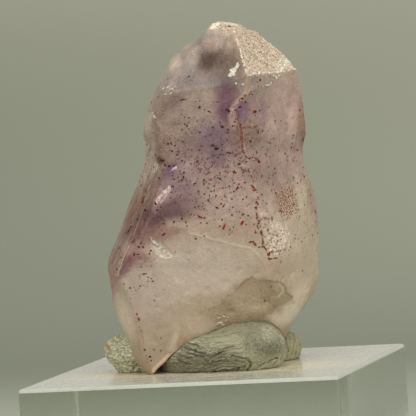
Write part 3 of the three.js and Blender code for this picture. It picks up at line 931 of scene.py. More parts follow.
# Bold flakes of the front: x, z, length, width, turn in degrees
RED_FLAKES = (
    (-0.67, 18.29, 0.83, 0.26, -26), (-0.16, 18.14, 0.36, 0.24, 36), (2.04, 16.93, 0.83, 0.24, 64),
    (4.17, 17.26, 0.65, 0.31, 54), (6.43, 29.99, 0.36, 0.24, 1), (-8.79, 7.33, 0.40, 0.19, -64),
    (-8.60, 6.73, 0.50, 0.19, -74), (5.62, 16.11, 0.19, 0.36, -4),
)
MAROON_FLAKES = (
    (-7.12, 20.72, 0.71, 0.26, 58), (-7.33, 20.26, 0.47, 0.24, 81), (-8.93, 17.38, 0.71, 0.38, 58),
    (-9.27, 16.82, 0.83, 0.43, 71), (-9.07, 17.10, 0.36, 0.36, -4), (-5.07, 16.47, 0.59, 0.28, 31),
    (-4.65, 32.37, 0.36, 0.31, -4), (5.16, 31.65, 0.33, 0.31, -4), (5.51, 31.22, 0.36, 0.24, 26),
    (-8.69, 15.78, 0.55, 0.24, 21), (-8.05, 18.32, 0.52, 0.24, -4), (-8.03, 15.15, 0.36, 0.24, -44),
    (6.62, 24.12, 0.40, 0.52, -4), (3.48, 20.94, 0.24, 0.24, -4), (-1.71, 18.59, 0.26, 0.19, -4),
    (-2.87, 25.58, 0.31, 0.24, -4), (2.94, 16.29, 0.11, 0.11, -4), (6.54, 29.98, 0.71, 0.40, 1),
    (7.13, 30.06, 0.42, 0.21, 11), (-1.86, 31.95, 0.55, 0.23, 11), (0.12, 30.94, 0.40, 0.33, 56),
    (1.19, 30.40, 0.36, 0.21, -14), (4.83, 30.68, 0.43, 0.26, 26), (3.85, 21.26, 0.71, 0.21, 61),
    (1.38, 19.21, 0.55, 0.23, -29), (2.15, 19.39, 0.59, 0.18, 56), (3.63, 23.21, 0.47, 0.26, 51),
    (-4.35, 24.45, 0.33, 0.28, -4), (-7.66, 11.96, 0.40, 0.18, 1), (-7.22, 11.57, 0.31, 0.14, 16),
    (-1.51, 31.98, 0.24, 0.14, -4), (7.15, 16.24, 0.18, 0.43, -4), (-6.66, 14.65, 0.36, 0.17, 26),
    (-7.56, 15.12, 0.36, 0.19, -44), (-8.20, 14.28, 0.47, 0.15, 6), (6.73, 27.51, 0.40, 0.31, 16),
    (-2.30, 13.35, 0.19, 0.12, -4), (-6.67, 11.07, 0.31, 0.19, -4),
)
RUST_FLAKES = (
    (4.25, 40.08, 0.40, 0.26, -4), (6.24, 7.91, 0.31, 0.23, 76), (6.71, 7.87, 0.17, 0.15, -4),
    (7.10, 9.52, 0.24, 0.19, -4), (7.69, 17.42, 0.69, 0.27, 84), (5.88, 20.96, 0.57, 0.40, 6),
    (5.83, 21.06, 0.36, 0.47, -4), (6.31, 16.00, 0.36, 0.55, 1), (7.01, 13.38, 0.43, 0.47, -4),
    (7.07, 12.84, 0.36, 0.33, -4), (7.09, 16.18, 0.47, 0.18, 71), (5.50, 14.66, 0.59, 0.26, -64),
    (6.02, 19.55, 0.40, 0.24, 56), (5.88, 18.93, 0.38, 0.28, -4), (5.41, 23.12, 0.33, 0.26, -4),
    (4.86, 23.32, 0.71, 0.15, -32), (6.15, 17.36, 0.36, 0.26, -4), (6.44, 15.07, 0.38, 0.18, 81),
    (6.68, 14.09, 0.76, 0.21, -58), (5.96, 16.67, 0.71, 0.13, -72), (5.95, 18.08, 0.66, 0.17, -86),
    (4.95, 14.93, 0.36, 0.19, 16), (6.48, 14.29, 0.36, 0.14, 16), (7.74, 12.87, 0.71, 0.11, 0),
    (7.45, 13.71, 0.47, 0.11, 4), (4.71, 27.06, 0.83, 0.15, 84), (4.59, 29.88, 0.47, 0.14, 84),
    (4.76, 26.01, 0.59, 0.14, 81), (5.67, 28.24, 0.71, 0.14, 16), (6.42, 28.21, 0.59, 0.17, 4),
)
ORANGE_FLAKES = (
    (7.43, 15.21, 0.28, 0.12, 26), (7.81, 14.86, 0.19, 0.12, -4), (7.01, 14.09, 0.36, 0.13, 21),
    (7.94, 14.00, 0.26, 0.12, -4), (8.62, 14.38, 0.13, 0.24, -4), (9.13, 14.41, 0.14, 0.28, 16),
    (6.74, 15.44, 0.17, 0.28, -4), (8.71, 13.36, 0.28, 0.14, 26), (7.48, 13.47, 0.17, 0.17, -4),
    (6.66, 16.58, 0.28, 0.19, 36), (7.25, 17.05, 0.19, 0.17, -4), (6.38, 23.20, 0.95, 0.24, 8),
    (6.93, 17.61, 0.89, 0.28, -12), (6.84, 16.91, 0.33, 0.31, -4), (7.43, 14.81, 0.36, 0.21, 16),
    (7.66, 14.15, 0.47, 0.15, -4), (8.92, 13.72, 0.52, 0.26, 16), (8.15, 15.40, 0.71, 0.13, -20),
    (9.39, 13.04, 0.31, 0.14, 16), (8.45, 14.74, 0.15, 0.28, -4), (7.37, 15.05, 0.36, 0.12, 36),
    (6.92, 14.56, 0.21, 0.26, -4), (7.99, 14.47, 0.18, 0.17, -4), (8.31, 13.27, 0.15, 0.36, -4),
    (8.35, 12.34, 0.18, 0.36, -4), (10.85, 18.05, 0.38, 0.17, 76), (11.03, 17.21, 0.47, 0.21, 66),
    (10.52, 20.83, 0.31, 0.19, 16), (11.45, 19.97, 0.20, 0.20, -4), (6.33, 18.92, 0.17, 0.33, -4),
    (6.29, 19.88, 0.26, 0.36, -4), (8.49, 13.59, 0.36, 0.12, 6), (8.03, 13.68, 0.36, 0.09, -4),
    (7.14, 14.36, 0.24, 0.14, 26),
)
# Among the white flakes, the eight by the clear window, near x 0 to 2 and z 5.4 to 6.4, are pale
# plates that stand in for glints: painted highlights
WHITE_FLAKES = (
    (-6.24, 15.61, 0.59, 0.26, -42), (-5.85, 15.31, 0.59, 0.31, -44),
    (-5.47, 14.93, 0.66, 0.33, -40),
    (-5.03, 14.52, 0.64, 0.33, -46), (-4.66, 14.12, 0.59, 0.31, -42),
    (-5.71, 14.83, 0.47, 0.19, -34),
    (-5.23, 14.33, 0.47, 0.19, -38), (-6.46, 15.86, 0.28, 0.19, -44),
    (-5.46, 24.64, 0.47, 0.18, 56),
    (-5.32, 23.99, 0.52, 0.18, 71), (-5.62, 23.66, 0.40, 0.15, 66), (4.69, 35.26, 1.07, 0.47, 54),
    (4.39, 34.94, 1.07, 0.64, 58), (4.09, 34.58, 0.83, 0.62, 21), (3.93, 34.38, 0.59, 0.40, -4),
    (4.36, 34.45, 0.55, 0.40, -4), (4.87, 35.66, 0.53, 0.28, 66), (4.09, 35.01, 0.47, 0.36, 56),
    (4.55, 33.45, 0.30, 0.26, -4), (5.34, 33.30, 0.34, 0.27, -4), (8.24, 32.92, 0.88, 0.24, 2),
    (9.33, 33.74, 0.83, 0.25, -26), (9.67, 33.90, 0.55, 0.20, 4), (9.43, 34.19, 0.47, 0.18, -4),
    (9.02, 33.99, 0.47, 0.15, 26), (8.66, 33.17, 0.36, 0.18, 41), (6.97, 34.18, 0.36, 0.13, -4),
    (7.67, 34.18, 0.40, 0.13, -4), (8.49, 34.17, 0.36, 0.13, -4), (10.36, 34.07, 0.36, 0.13, -4),
    (11.19, 34.15, 0.36, 0.12, -4), (-5.46, 30.62, 0.59, 0.15, 21), (-5.75, 30.41, 0.47, 0.15, 66),
    (-5.20, 30.23, 0.47, 0.15, -44), (-5.58, 30.12, 0.52, 0.15, 4), (-4.00, 33.32, 0.59, 0.12, -34),
    (-3.40, 33.45, 0.59, 0.12, 38), (-2.91, 33.20, 0.55, 0.12, -40), (-3.76, 32.72, 0.47, 0.12, 11),
    (-3.14, 32.79, 0.59, 0.12, 26), (4.86, 33.37, 0.12, 0.12, -4), (8.06, 32.92, 0.47, 0.15, 4),
    (8.59, 33.00, 0.36, 0.13, -9), (9.33, 33.60, 0.28, 0.17, 56), (9.65, 33.93, 0.40, 0.15, 41),
    (9.94, 33.97, 0.36, 0.14, 16), (8.91, 33.45, 0.28, 0.13, 26), (8.55, 33.24, 0.19, 0.11, -4),
    (7.35, 31.97, 0.19, 0.13, -4), (7.70, 32.83, 0.24, 0.12, -4), (-5.71, 30.34, 0.47, 0.14, 16),
    (-5.35, 30.49, 0.36, 0.15, 46), (-5.14, 30.12, 0.36, 0.14, -64), (-5.50, 30.03, 0.47, 0.13, 6),
    (-5.84, 30.11, 0.24, 0.17, -4), (-5.52, 24.47, 0.55, 0.17, 76), (-5.17, 24.51, 0.28, 0.14, 36),
    (-5.62, 23.89, 0.47, 0.13, 71), (-5.78, 24.20, 0.36, 0.12, 86), (-5.88, 23.56, 0.28, 0.11, 56),
    (-3.88, 33.43, 0.47, 0.09, -39), (-3.52, 33.47, 0.42, 0.09, 46),
    (-3.19, 33.21, 0.47, 0.09, -44),
    (-2.83, 33.30, 0.42, 0.09, 31), (-3.69, 32.77, 0.36, 0.09, 6), (-3.09, 32.85, 0.42, 0.09, 21),
    (-4.22, 33.57, 0.30, 0.11, -4), (-2.52, 33.46, 0.28, 0.09, -14), (-3.37, 33.05, 0.31, 0.08, 56),
    (-4.02, 33.09, 0.24, 0.08, 16), (0.74, 6.28, 0.47, 0.12, 6), (1.34, 6.42, 0.36, 0.11, -24),
    (0.82, 5.67, 0.77, 0.21, 8), (1.54, 5.93, 0.36, 0.11, 26), (0.46, 5.53, 0.36, 0.11, 1),
    (1.16, 5.43, 0.47, 0.11, -14), (0.15, 6.14, 0.24, 0.09, -4), (1.80, 6.27, 0.24, 0.09, -4),
    (-5.34, 30.66, 0.24, 0.11, -24), (-6.00, 30.36, 0.19, 0.12, 26), (6.15, 34.28, 0.14, 0.12, -4),
    (6.61, 34.07, 0.17, 0.13, -4), (7.20, 34.15, 0.14, 0.11, -4), (8.13, 34.09, 0.17, 0.12, -4),
    (8.84, 34.10, 0.14, 0.11, -4), (10.36, 34.11, 0.14, 0.12, -4), (11.07, 34.18, 0.14, 0.11, -4),
    (4.73, 39.30, 0.19, 0.14, 56), (4.92, 38.58, 0.17, 0.13, 66), (4.78, 38.30, 0.24, 0.15, -4),
)
DARK_FLAKES = (
    (1.71, 25.98, 0.52, 0.36, -4), (1.95, 26.02, 0.28, 0.24, -4), (1.27, 26.36, 0.31, 0.19, -54),
    (2.64, 28.49, 0.36, 0.31, -4), (3.26, 28.10, 0.26, 0.21, -4), (5.79, 26.58, 0.36, 0.31, 6),
    (7.32, 27.65, 0.19, 0.33, -4), (7.40, 33.61, 0.33, 0.33, -4), (5.54, 24.61, 0.31, 0.28, -4),
    (-3.90, 24.31, 0.31, 0.26, -4), (-3.31, 24.32, 0.28, 0.24, 36), (-2.20, 23.43, 0.26, 0.33, -4),
    (-2.29, 22.91, 0.24, 0.31, -4), (-2.49, 22.63, 0.26, 0.28, -4), (-5.16, 22.98, 0.31, 0.31, -4),
    (-7.04, 19.39, 0.36, 0.33, -4), (-5.76, 20.04, 0.31, 0.36, 26), (-5.64, 19.33, 0.33, 0.28, -4),
    (-5.15, 19.65, 0.28, 0.19, 26), (-3.75, 17.85, 0.24, 0.33, -4), (-2.79, 18.16, 0.31, 0.26, -4),
    (1.87, 17.77, 0.20, 0.26, -4), (0.09, 17.50, 0.20, 0.20, -4), (5.73, 21.31, 0.24, 0.24, -4),
    (1.95, 22.51, 0.50, 0.19, -39), (-10.83, 12.61, 0.31, 0.28, -4),
    (-10.43, 15.00, 0.28, 0.23, -4),
    (-8.67, 14.31, 0.19, 0.36, -4), (-1.00, 22.12, 0.43, 0.20, 11), (-3.71, 21.89, 0.45, 0.21, 36),
    (-7.62, 2.20, 0.31, 0.24, -4), (-7.53, 1.72, 0.24, 0.18, -4), (-8.15, 3.06, 0.23, 0.19, -4),
    (-7.10, 2.99, 0.21, 0.17, -4), (-6.29, 2.82, 0.21, 0.14, -4), (0.07, 22.46, 0.21, 0.36, -4),
    (0.39, 20.15, 0.24, 0.21, -4), (8.36, 20.32, 0.21, 0.31, -4), (8.42, 23.12, 0.28, 0.24, -4),
    (6.86, 22.47, 0.36, 0.17, -4), (-3.34, 34.45, 0.31, 0.21, 16), (-4.55, 24.99, 0.47, 0.31, -4),
    (-4.78, 25.07, 0.28, 0.26, -4), (-3.84, 26.93, 0.23, 0.28, -4), (-3.04, 26.65, 0.23, 0.26, -4),
    (-3.43, 26.03, 0.24, 0.23, -4), (-2.34, 24.84, 0.28, 0.21, -4), (1.35, 20.61, 0.21, 0.23, -4),
    (2.39, 20.43, 0.21, 0.24, -4), (3.07, 18.27, 0.21, 0.21, -4), (4.36, 18.24, 0.26, 0.19, -4),
    (4.93, 18.03, 0.21, 0.18, -4), (3.24, 19.14, 0.24, 0.18, -4), (11.92, 21.75, 0.24, 0.33, -4),
    (10.63, 21.78, 0.24, 0.26, -4), (11.05, 21.10, 0.19, 0.28, -4), (12.40, 14.76, 0.20, 0.26, -4),
    (-9.40, 10.43, 0.23, 0.23, -4), (-8.22, 10.58, 0.23, 0.20, -4), (-10.07, 10.94, 0.20, 0.23, -4),
    (-6.19, 4.34, 0.19, 0.14, -4), (3.30, 30.43, 0.47, 0.26, -4), (3.52, 30.24, 0.24, 0.24, -4),
    (4.27, 24.05, 0.36, 0.26, -4), (5.15, 24.87, 0.24, 0.36, 36), (3.31, 25.40, 0.38, 0.19, -14),
    (2.45, 26.45, 0.21, 0.19, -4), (6.45, 25.13, 0.36, 0.17, 6), (7.49, 24.88, 0.24, 0.19, -4),
    (10.63, 25.31, 0.24, 0.24, -4), (11.30, 24.91, 0.24, 0.21, -4), (10.77, 25.77, 0.24, 0.19, -4),
    (10.95, 26.70, 0.19, 0.21, -4), (12.09, 26.15, 0.19, 0.24, -4), (9.81, 24.67, 0.21, 0.28, -4),
)

# Where small dark specks gather, in the front view: centre x, z, half width, half height, share
SPECK_FIELDS = (
    (-1.5, 22.8, 4.8, 5.0, 0.25), (3.0, 22.4, 5.0, 5.4, 0.27), (7.6, 23.2, 4.2, 4.8, 0.09),
    (-1.4, 28.0, 5.6, 3.4, 0.10), (5.4, 27.4, 4.5, 3.4, 0.06), (-8.5, 16.4, 2.4, 4.0, 0.04),
    (10.4, 17.0, 2.2, 6.0, 0.05), (-8.0, 9.0, 2.6, 4.0, 0.01), (1.0, 33.5, 7.0, 4.0, 0.01),
)

# The sides from which flakes are cast on the crystal, and how far out they start
FRONT, BACK, LEFT, RIGHT = (0, -1), (0, 1), (-1, 0), (1, 0)
CAST_DISTANCE = 40


def cast(skin, side, across, height):
    """The spot and normal where a level ray from one side meets the skin, or None twice."""
    x, y = side
    start = (x * CAST_DISTANCE + abs(y) * across, y * CAST_DISTANCE + abs(x) * across, height)
    return skin.ray_cast(Vector(start), Vector((-x, -y, 0)))[:2]


def flake_outline(rng, length, width):
    """The corners of a thin, uneven six-sided plate in its own plane."""
    corners = []
    for k in range(6):
        turn = math.pi * k / 3 + rng.uniform(-0.2, 0.2)
        x = math.cos(turn) * length / 2 * rng.uniform(0.8, 1.1)
        corners.append(Vector((x, math.sin(turn) * width / 2 * rng.uniform(0.75, 1.15), 0)))
    return corners


def seat_flake(shell, rng, spot, normal, length, width, turn, thickness, tilt, sink=0.35):
    """Adds one plate that lies in the skin at a spot, with a little of it standing proud."""
    up = (normal + Vector([rng.uniform(-tilt, tilt) for _ in range(3)])).normalized()
    right = Vector((0, 0, 1)).cross(up)
    right = right.normalized() if right.length > 1e-3 else Vector((1, 0, 0))
    lie = Matrix((right, up.cross(right), up)).transposed() @ Matrix.Rotation(turn, 3, "Z")
    centre = spot + normal * thickness * (0.5 - sink)
    outline = flake_outline(rng, length, width)
    under, over, edge = (
        [shell.verts.new(centre + lie @ (corner * spread + Vector((0, 0, level * thickness))))
         for corner in outline]
        for level, spread in ((-0.5, 0.9), (0.5, 0.9), (0, 1.05))
    )
    for low, high in ((under, edge), (edge, over)):
        for k in range(6):
            after = (k + 1) % 6
            shell.faces.new((low[k], low[after], high[after], high[k]))
    shell.faces.new(over)
    shell.faces.new(under[::-1])


def flake_material(name, dark, light, roughness):
    material, surface, _, object_place = start_material(name)
    place, _ = specimen_places(object_place, 0.2, 0.1)
    plug(surface, {
        "Base Color": lay(dark, veil(place, (0.25, 0.25, 0.25), 0.35, 0.65), light),
        "Normal": bump(mist(place, 9.0), 0.02 * MM),
        "Roughness": roughness, "Specular IOR Level": 0.12,
    })
    return material


def finish_flakes(name, shell, dark, light, roughness):
    """Turns a shell of plates into one piece, with a material of the same name."""
    bmesh.ops.recalc_face_normals(shell, faces=shell.faces)
    mesh = mesh_from(shell, name)
    mesh.transform(SPECIMEN_TO_WORLD)
    material = flake_material(name.replace("_", " "), dark, light, roughness)
    add_piece(name, mesh, [material])


def make_bold_flakes(skin):
    for name, flakes, dark, light, thickness, tilt in (
        ("red_flakes", RED_FLAKES, (102, 16, 14), (140, 32, 24), 0.07, 0.1),
        ("maroon_flakes", MAROON_FLAKES, (66, 16, 14), (104, 32, 26), 0.07, 0.1),
        ("dark_flakes", DARK_FLAKES, (34, 18, 14), (60, 36, 30), 0.07, 0.1),
        ("rust_flakes", RUST_FLAKES, (92, 42, 26), (128, 72, 48), 0.07, 0.1),
        ("orange_flakes", ORANGE_FLAKES, (136, 90, 62), (162, 118, 86), 0.07, 0.1),
        ("white_flakes", WHITE_FLAKES, (176, 174, 158), (212, 208, 192), 0.13, 0.03),
    ):
        rng = random.Random(SEED + len(name))
        shell = bmesh.new()
        for x, z, length, width, turn in flakes:
            spot, normal = cast(skin, FRONT, x, z)
            if spot is not None:
                turn = math.radians(turn)
                seat_flake(shell, rng, spot, normal, length, width, turn, thickness, tilt)
        finish_flakes(name, shell, dark, light, 0.4)


def make_specks(skin):
    """Hundreds of small dark specks, thick in the neck and thin elsewhere."""
    rng = random.Random(SEED)
    dark, brown = bmesh.new(), bmesh.new()
    fields = [field for field in SPECK_FIELDS for _ in range(round(field[4] * 100))]
    for side, amount in ((FRONT, 560), (BACK, 260), (LEFT, 120), (RIGHT, 120)):
        for _ in range(amount):
            x, z, half_width, half_height, _ = rng.choice(fields)
            across = x + rng.gauss(0, 0.55) * half_width
            spot, normal = cast(skin, side, across, z + rng.gauss(0, 0.55) * half_height)
            if spot is None:
                continue
            size = rng.choice((0.10, 0.12, 0.14, 0.17, 0.21))
            shell = brown if rng.random() < 0.34 else dark
            length, turn = size * rng.uniform(1.0, 1.9), rng.uniform(0, math.pi)
            sink = rng.choice((0.3, 0.4, 0.9))
            seat_flake(shell, rng, spot, normal, length, size, turn, 0.05, 0.3, sink)
    finish_flakes("dark_specks", dark, (56, 36, 32), (92, 64, 56), 0.55)
    finish_flakes("brown_specks", brown, (92, 42, 26), (134, 74, 48), 0.55)


def on_white_face(x, z):
    """Whether a front-view place lies right of the white face's left rim and above its foot."""
    (x0, z0), (x1, z1) = FACE_RIM[0], FACE_RIM[-1]
    (x2, z2), (x3, z3) = FACE_FOOT[0], FACE_FOOT[-1]
    right = x > x0 + (z - z0) * (x1 - x0) / (z1 - z0)
    return right and z > z2 + (x - x2) * (z3 - z2) / (x3 - x2)


def between(rng, a, b, part, spread):
    """A place part of the way from one corner to the next, and a little off the line."""
    return [u + (v - u) * part + rng.gauss(0, spread) for u, v in zip(a, b)]


def make_rust(skin):
    """Rust along its lines, in the stain, in the white cluster and on the crust."""
    rng = random.Random(SEED + 3)
    rust, knots, white, stain, pale = (bmesh.new() for _ in range(5))

    def grain(shell, x, z, length, width, turn=None, sink=0.35):
        spot, normal = cast(skin, FRONT, x, z)
        if spot is not None:
            turn = rng.uniform(0, math.pi) if turn is None else turn
            seat_flake(shell, rng, spot, normal, length, width, turn, 0.05, 0.2, sink)

    # Dashes that follow each line, with knots where it thickens
    for line, step, spread, widths in (
        (RUST_LINE, 0.13, 0.035, (0.10, 0.13, 0.17)), (RUST_LOW, 0.19, 0.07, (0.07, 0.09, 0.13)),
        (FOOT_RUST, 0.3, 0.04, (0.06, 0.08)), (BAND_GRAINS, 0.13, 0.26, (0.06, 0.08, 0.11)),
        *((branch, 0.12, 0.03, (0.08, 0.11, 0.14)) for branch in RUST_BRANCHES),
    ):
        dash_share = 0.6 if line is RUST_LOW else 0.82
        knot_share = 0.05 if line is FOOT_RUST else 0.14
        for a, b in spans(line):
            span, lean = math.dist(a, b), math.atan2(b[1] - a[1], b[0] - a[0])
            for k in range(max(1, round(span / step))):
                x, z = between(rng, a, b, (k + rng.random()) * step / span, spread)
                if rng.random() < dash_share:
                    length, width = rng.uniform(0.15, 0.3), rng.choice(widths)
                    grain(rust, x, z, length, width, lean + rng.gauss(0, 0.35))
                if rng.random() < knot_share:
                    grain(knots, x, z, rng.uniform(0.14, 0.34), rng.uniform(0.12, 0.26))

    # Grains scattered in ovals: kind, middle, half size, amount, sizes, how deep they sit
    for shell, middle, half, amount, sizes, sink in (
        (stain, (9.6, 19.0), (0.95, 1.75), 60, (0.06, 0.08, 0.10), 0.35),
        (rust, (8.1, 15.4), (1.0, 1.7), 14, (0.08, 0.11, 0.15), 0.2),
        (pale, (8.25, 15.2), (1.05, 1.75), 84, (0.16, 0.24, 0.34), 0.8),
        (rust, (7.8, 37.0), (2.2, 1.6), 190, (0.06, 0.08, 0.11), 0.3),
        (white, (7.8, 36.6), (2.4, 1.8), 120, (0.10, 0.14, 0.2), 0.6),
        (white, (10.6, 35.2), (0.9, 0.7), 44, (0.14, 0.2, 0.28), 0.4),
        (white, (2.3, 40.2), (0.8, 0.35), 40, (0.14, 0.22, 0.3), 0.5),
        (rust, (-7.9, 11.0), (1.0, 2.0), 16, (0.1, 0.13), 0.35),
        (rust, (5.4, 25.5), (1.4, 3.0), 60, (0.08, 0.11, 0.14), 0.35),
    ):
        bound_to_face = middle[1] >= 34 and middle[0] >= 3
        for _ in range(amount):
            turn, reach = rng.uniform(0, 2 * math.pi), 1.25 * rng.random() ** 0.6
            x = middle[0] + reach * math.cos(turn) * half[0]
            z = middle[1] + reach * math.sin(turn) * half[1]
            size = rng.choice(sizes)
            if on_white_face(x, z) or not bound_to_face:
                grain(shell, x, z, size * rng.uniform(1.0, 2.0), size, None, sink)

    # The stain: close rows of rust dots with pale dots between them
    for row in range(-8, 9):
        for column in range(-5, 6):
            x = 9.65 + 0.25 * column + 0.125 * (row % 2) + rng.gauss(0, 0.035)
            z = 18.95 + 0.235 * row + rng.gauss(0, 0.035)
            reach = math.hypot((x - 9.65) / 1.25, (z - 18.95) / 2.0)
            if rng.random() < 1.9 - 1.5 * reach:
                length, width = rng.uniform(0.17, 0.26), rng.uniform(0.13, 0.18)
                grain(stain, x, z, length, width, rng.choice((0.8, -0.8)) + rng.gauss(0, 0.2))
            if rng.random() < 1.1 - reach:
                grain(pale, x + 0.12, z, rng.uniform(0.12, 0.18), 0.12, None, 0.6)

    # Beads along the two lower rims of the white face
    bead_step = 0.17
    for a, b in spans(FACE_RIM) + spans(FACE_FOOT):
        for k in range(round(math.dist(a, b) / bead_step)):
            part = (k + rng.random()) * bead_step / math.dist(a, b)
            size = rng.uniform(0.11, 0.25)
            if rng.random() < 0.8:
                grain(white, *between(rng, a, b, part, 0.04), size * 1.4, size)

    finish_flakes("rust_grains", rust, (96, 52, 32), (142, 90, 60), 0.6)
    finish_flakes("pale_grains", pale, (184, 168, 149), (212, 195, 178), 0.7)
    finish_flakes("stain_grains", stain, (98, 44, 30), (138, 78, 52), 0.6)
    finish_flakes("rust_knots", knots, (66, 30, 20), (104, 54, 38), 0.6)
    finish_flakes("crust_grains", white, (204, 192, 172), (236, 228, 210), 0.7)


# The putty

# Creases of the putty roll: chain of (x, z) corners, width, depth
PUTTY_CREASES = (
    (((-3.58, 2.98), (-2.66, 2.74), (-1.86, 2.42), (-1.05, 2.28),
      (-0.49, 1.89), (0.10, 2.09), (0.95, 2.50)),
     0.13, 0.24),
    (((0.49, 2.65), (1.33, 2.88), (2.27, 2.94)), 0.1, 0.14),
    (((-3.30, 3.61), (-2.50, 3.32), (-1.82, 3.10)), 0.1, 0.16),
    (((-3.79, 3.29), (-2.99, 3.06)), 0.09, 0.14),
    (((-3.26, 2.49), (-2.35, 2.19), (-1.31, 1.95)), 0.1, 0.16),
    (((-4.33, 2.27), (-3.42, 1.91), (-2.72, 1.81)), 0.09, 0.14),
    (((-4.49, 1.63), (-3.70, 1.23), (-2.89, 1.06)), 0.11, 0.18),
    (((-1.22, 1.53), (0.05, 1.27), (1.46, 1.35)), 0.09, 0.12),
    (((1.96, 1.84), (2.88, 1.66), (3.69, 1.49), (4.07, 1.06), (3.98, 0.59), (3.62, 0.38)), 0.1,
     0.16),
    (((2.39, 1.23), (3.31, 0.99)), 0.09, 0.12),
    (((4.91, 0.53), (5.86, 0.76), (7.17, 1.14)), 0.1, 0.16),
    (((-0.48, 0.31), (0.93, 0.39), (2.33, 0.41), (3.28, 0.58)), 0.1, 0.16),
)

# The upper edge of the roll in the front view, from the foot to the right end
ROLL_TOP = (
    (-5.55, 1.52), (-5.04, 2.14), (-4.44, 2.66), (-3.06, 3.70), (-1.53, 4.25), (-0.19, 4.63),
    (0.96, 5.02),
    (2.68, 5.57), (4.33, 5.64), (5.49, 5.56), (6.42, 5.35), (7.09, 4.95), (7.67, 4.48),
    (8.08, 3.89),
    (8.34, 3.30), (8.57, 2.44), (8.64, 1.73),
)

# How near the crystal the putty is drawn against it
PUTTY_REACH = 0.62


def wrinkles(place, shift):
    """Fine wrinkles of two sizes; with a shift downward they fall just above, as their lips."""
    folds = []
    for size, width, share in (((1.6, 1.6, 0.38), 0.028, 0.9), ((0.8, 0.8, 0.26), 0.03, 0.6)):
        away = abs(mist((place + (0, 0, shift)) / size) - 0.5)
        folds.append(ramp(away, width, 0.0) * share)
    return either(*folds)


def putty_material():
    material, surface, _, object_place = start_material("grey olive putty")
    place, wandering = specimen_places(object_place, 0.5, 0.12)
    x, _, z = axes(wandering)
    colour = lay((142, 142, 116), veil(wandering, (2.4, 2.4, 1.2), 0.3, 0.7), (163, 161, 135))
    # Painted shade: the upper roll, its right end and its lower front are laid darker
    top = ramp(axes(place)[2], 3.0, 4.8) * ramp(x, -4.0, -1.0)
    colour = lay(colour, top * 0.85, (122, 119, 96))
    end = zone(wandering, (5.9, -6, 2.9), (2.5, 5, 1.3), 16, 0.6, 0.75)
    colour = lay(colour, end, (102, 101, 80))
    shaded = zone(wandering, (-2.0, -8, 1.0), (4.4, 6, 1.3), -8, 0.6, 0.8)
    colour = lay(colour, shaded, (112, 110, 86))
    # Painted light: the left lobe is laid lighter, with painted highlights on its crumbs
    lobe = zone(place, (-11.0, -2, 2.4), (4.4, 10, 4.0), 0, 0.3)
    colour = lay(colour, lobe, (182, 179, 146))
    crumbs = veil(place, (0.3, 0.3, 0.24), 0.46, 0.58, 0.7)
    colour = lay(colour, lobe * crumbs, (230, 228, 202))
    rear = zone(place, (9.6, 1, 2.2), (2.2, 7, 3.4), 0, 0.3)
    colour = lay(colour, rear, (150, 145, 113))

    # Finger lines sweep along the roll and curl round its right end
    along = z + x * -0.12
    around = length((wandering - (4.6, 0, 2.4)) * (1, 0, 1.2))
    curl = put(x.tree, "Mix", {0: ramp(x, 2.0, 5.0), 2: along, 3: around}, data_type="FLOAT")
    curl = curl + mist(place / (1.8, 1.8, 0.9)) * 0.8
    waves = (curl * (2 * math.pi / spacing) for spacing in (0.46, 0.21))
    fingers = reduce(add, (combine("SINE", wave) * 0.5 for wave in waves))
    uneven = veil(place, (1.2, 1.2, 0.5), 0.36, 0.58)
    ends = zone(place, (4.6, -8, 2.4), (2.8, 12, 2.1), 0, 0.2)
    uneven = either(uneven * 0.7, (1.0 - ends) * uneven)
    fingers = fingers * uneven * (1.0 - lobe)
    colour = colour * (fingers * 0.42 + 1.0)

    # The end of the roll, pressed in and glinting
    pressed = zone(wandering, (5.6, -8, 2.9), (2.4, 4, 1.1), 16, 0.5)
    pressed = pressed * veil(place, (0.22, 0.22, 0.2), 0.45, 0.6)
    colour = lay(colour, pressed * 0.6, (80, 80, 64))
    glint = zone(wandering, (6.2, -8, 4.3), (0.8, 4, 0.6), 0, 0.6)
    glint = glint * veil(place, (0.2, 0.2, 0.16), 0.48, 0.58)
    colour = lay(colour, glint * 0.45, (216, 215, 198))

    # Fine wrinkles below with pale lips, the creases, the shaded gap along the roll's top and a
    # touch of rust
    folds, lips = wrinkles(wandering, 0.0), wrinkles(wandering, -0.11)
    wrinkled = zone(wandering, (-2.0, -8, 2.0), (4.6, 6, 1.8), 0, 0.5)
    wrinkled = either(either(wrinkled, lobe * 0.8), 0.25)
    # The lips are laid pale: painted highlights
    colour = lay(colour, lips * wrinkled * 0.75, (208, 206, 178))
    folds = folds * wrinkled
    for line, width, _ in PUTTY_CREASES:
        folds = either(folds, line_mask(wandering, line, width * 0.8, 0.9))
    # The folds and creases are laid dark: painted shade
    colour = lay(colour, folds * 0.6, (80, 74, 52))
    # Painted shade in the gap along the roll's top, where it meets the crystal
    colour = lay(colour, line_mask(place, ROLL_TOP[7:], 0.24, 0.65), (88, 72, 44))
    # A touch of rust
    rust = zone(wandering, (-12.6, 0, 3.2), (0.35, 1.5, 0.3), 0, 0.5, 0.8)
    colour = lay(colour, rust, (176, 134, 82))

    grain = mist(place, 4.5, 4.0, 0.6)
    height = grain * 0.10 + (fingers + pressed) * 0.07 - folds * 0.12
    plug(surface, {
        "Base Color": colour, "Normal": bump(height, MM), "Specular IOR Level": 0.4,
        "Roughness": rescale(grain, 0.0, 1.0, 0.55, 0.85),
    })
    return material


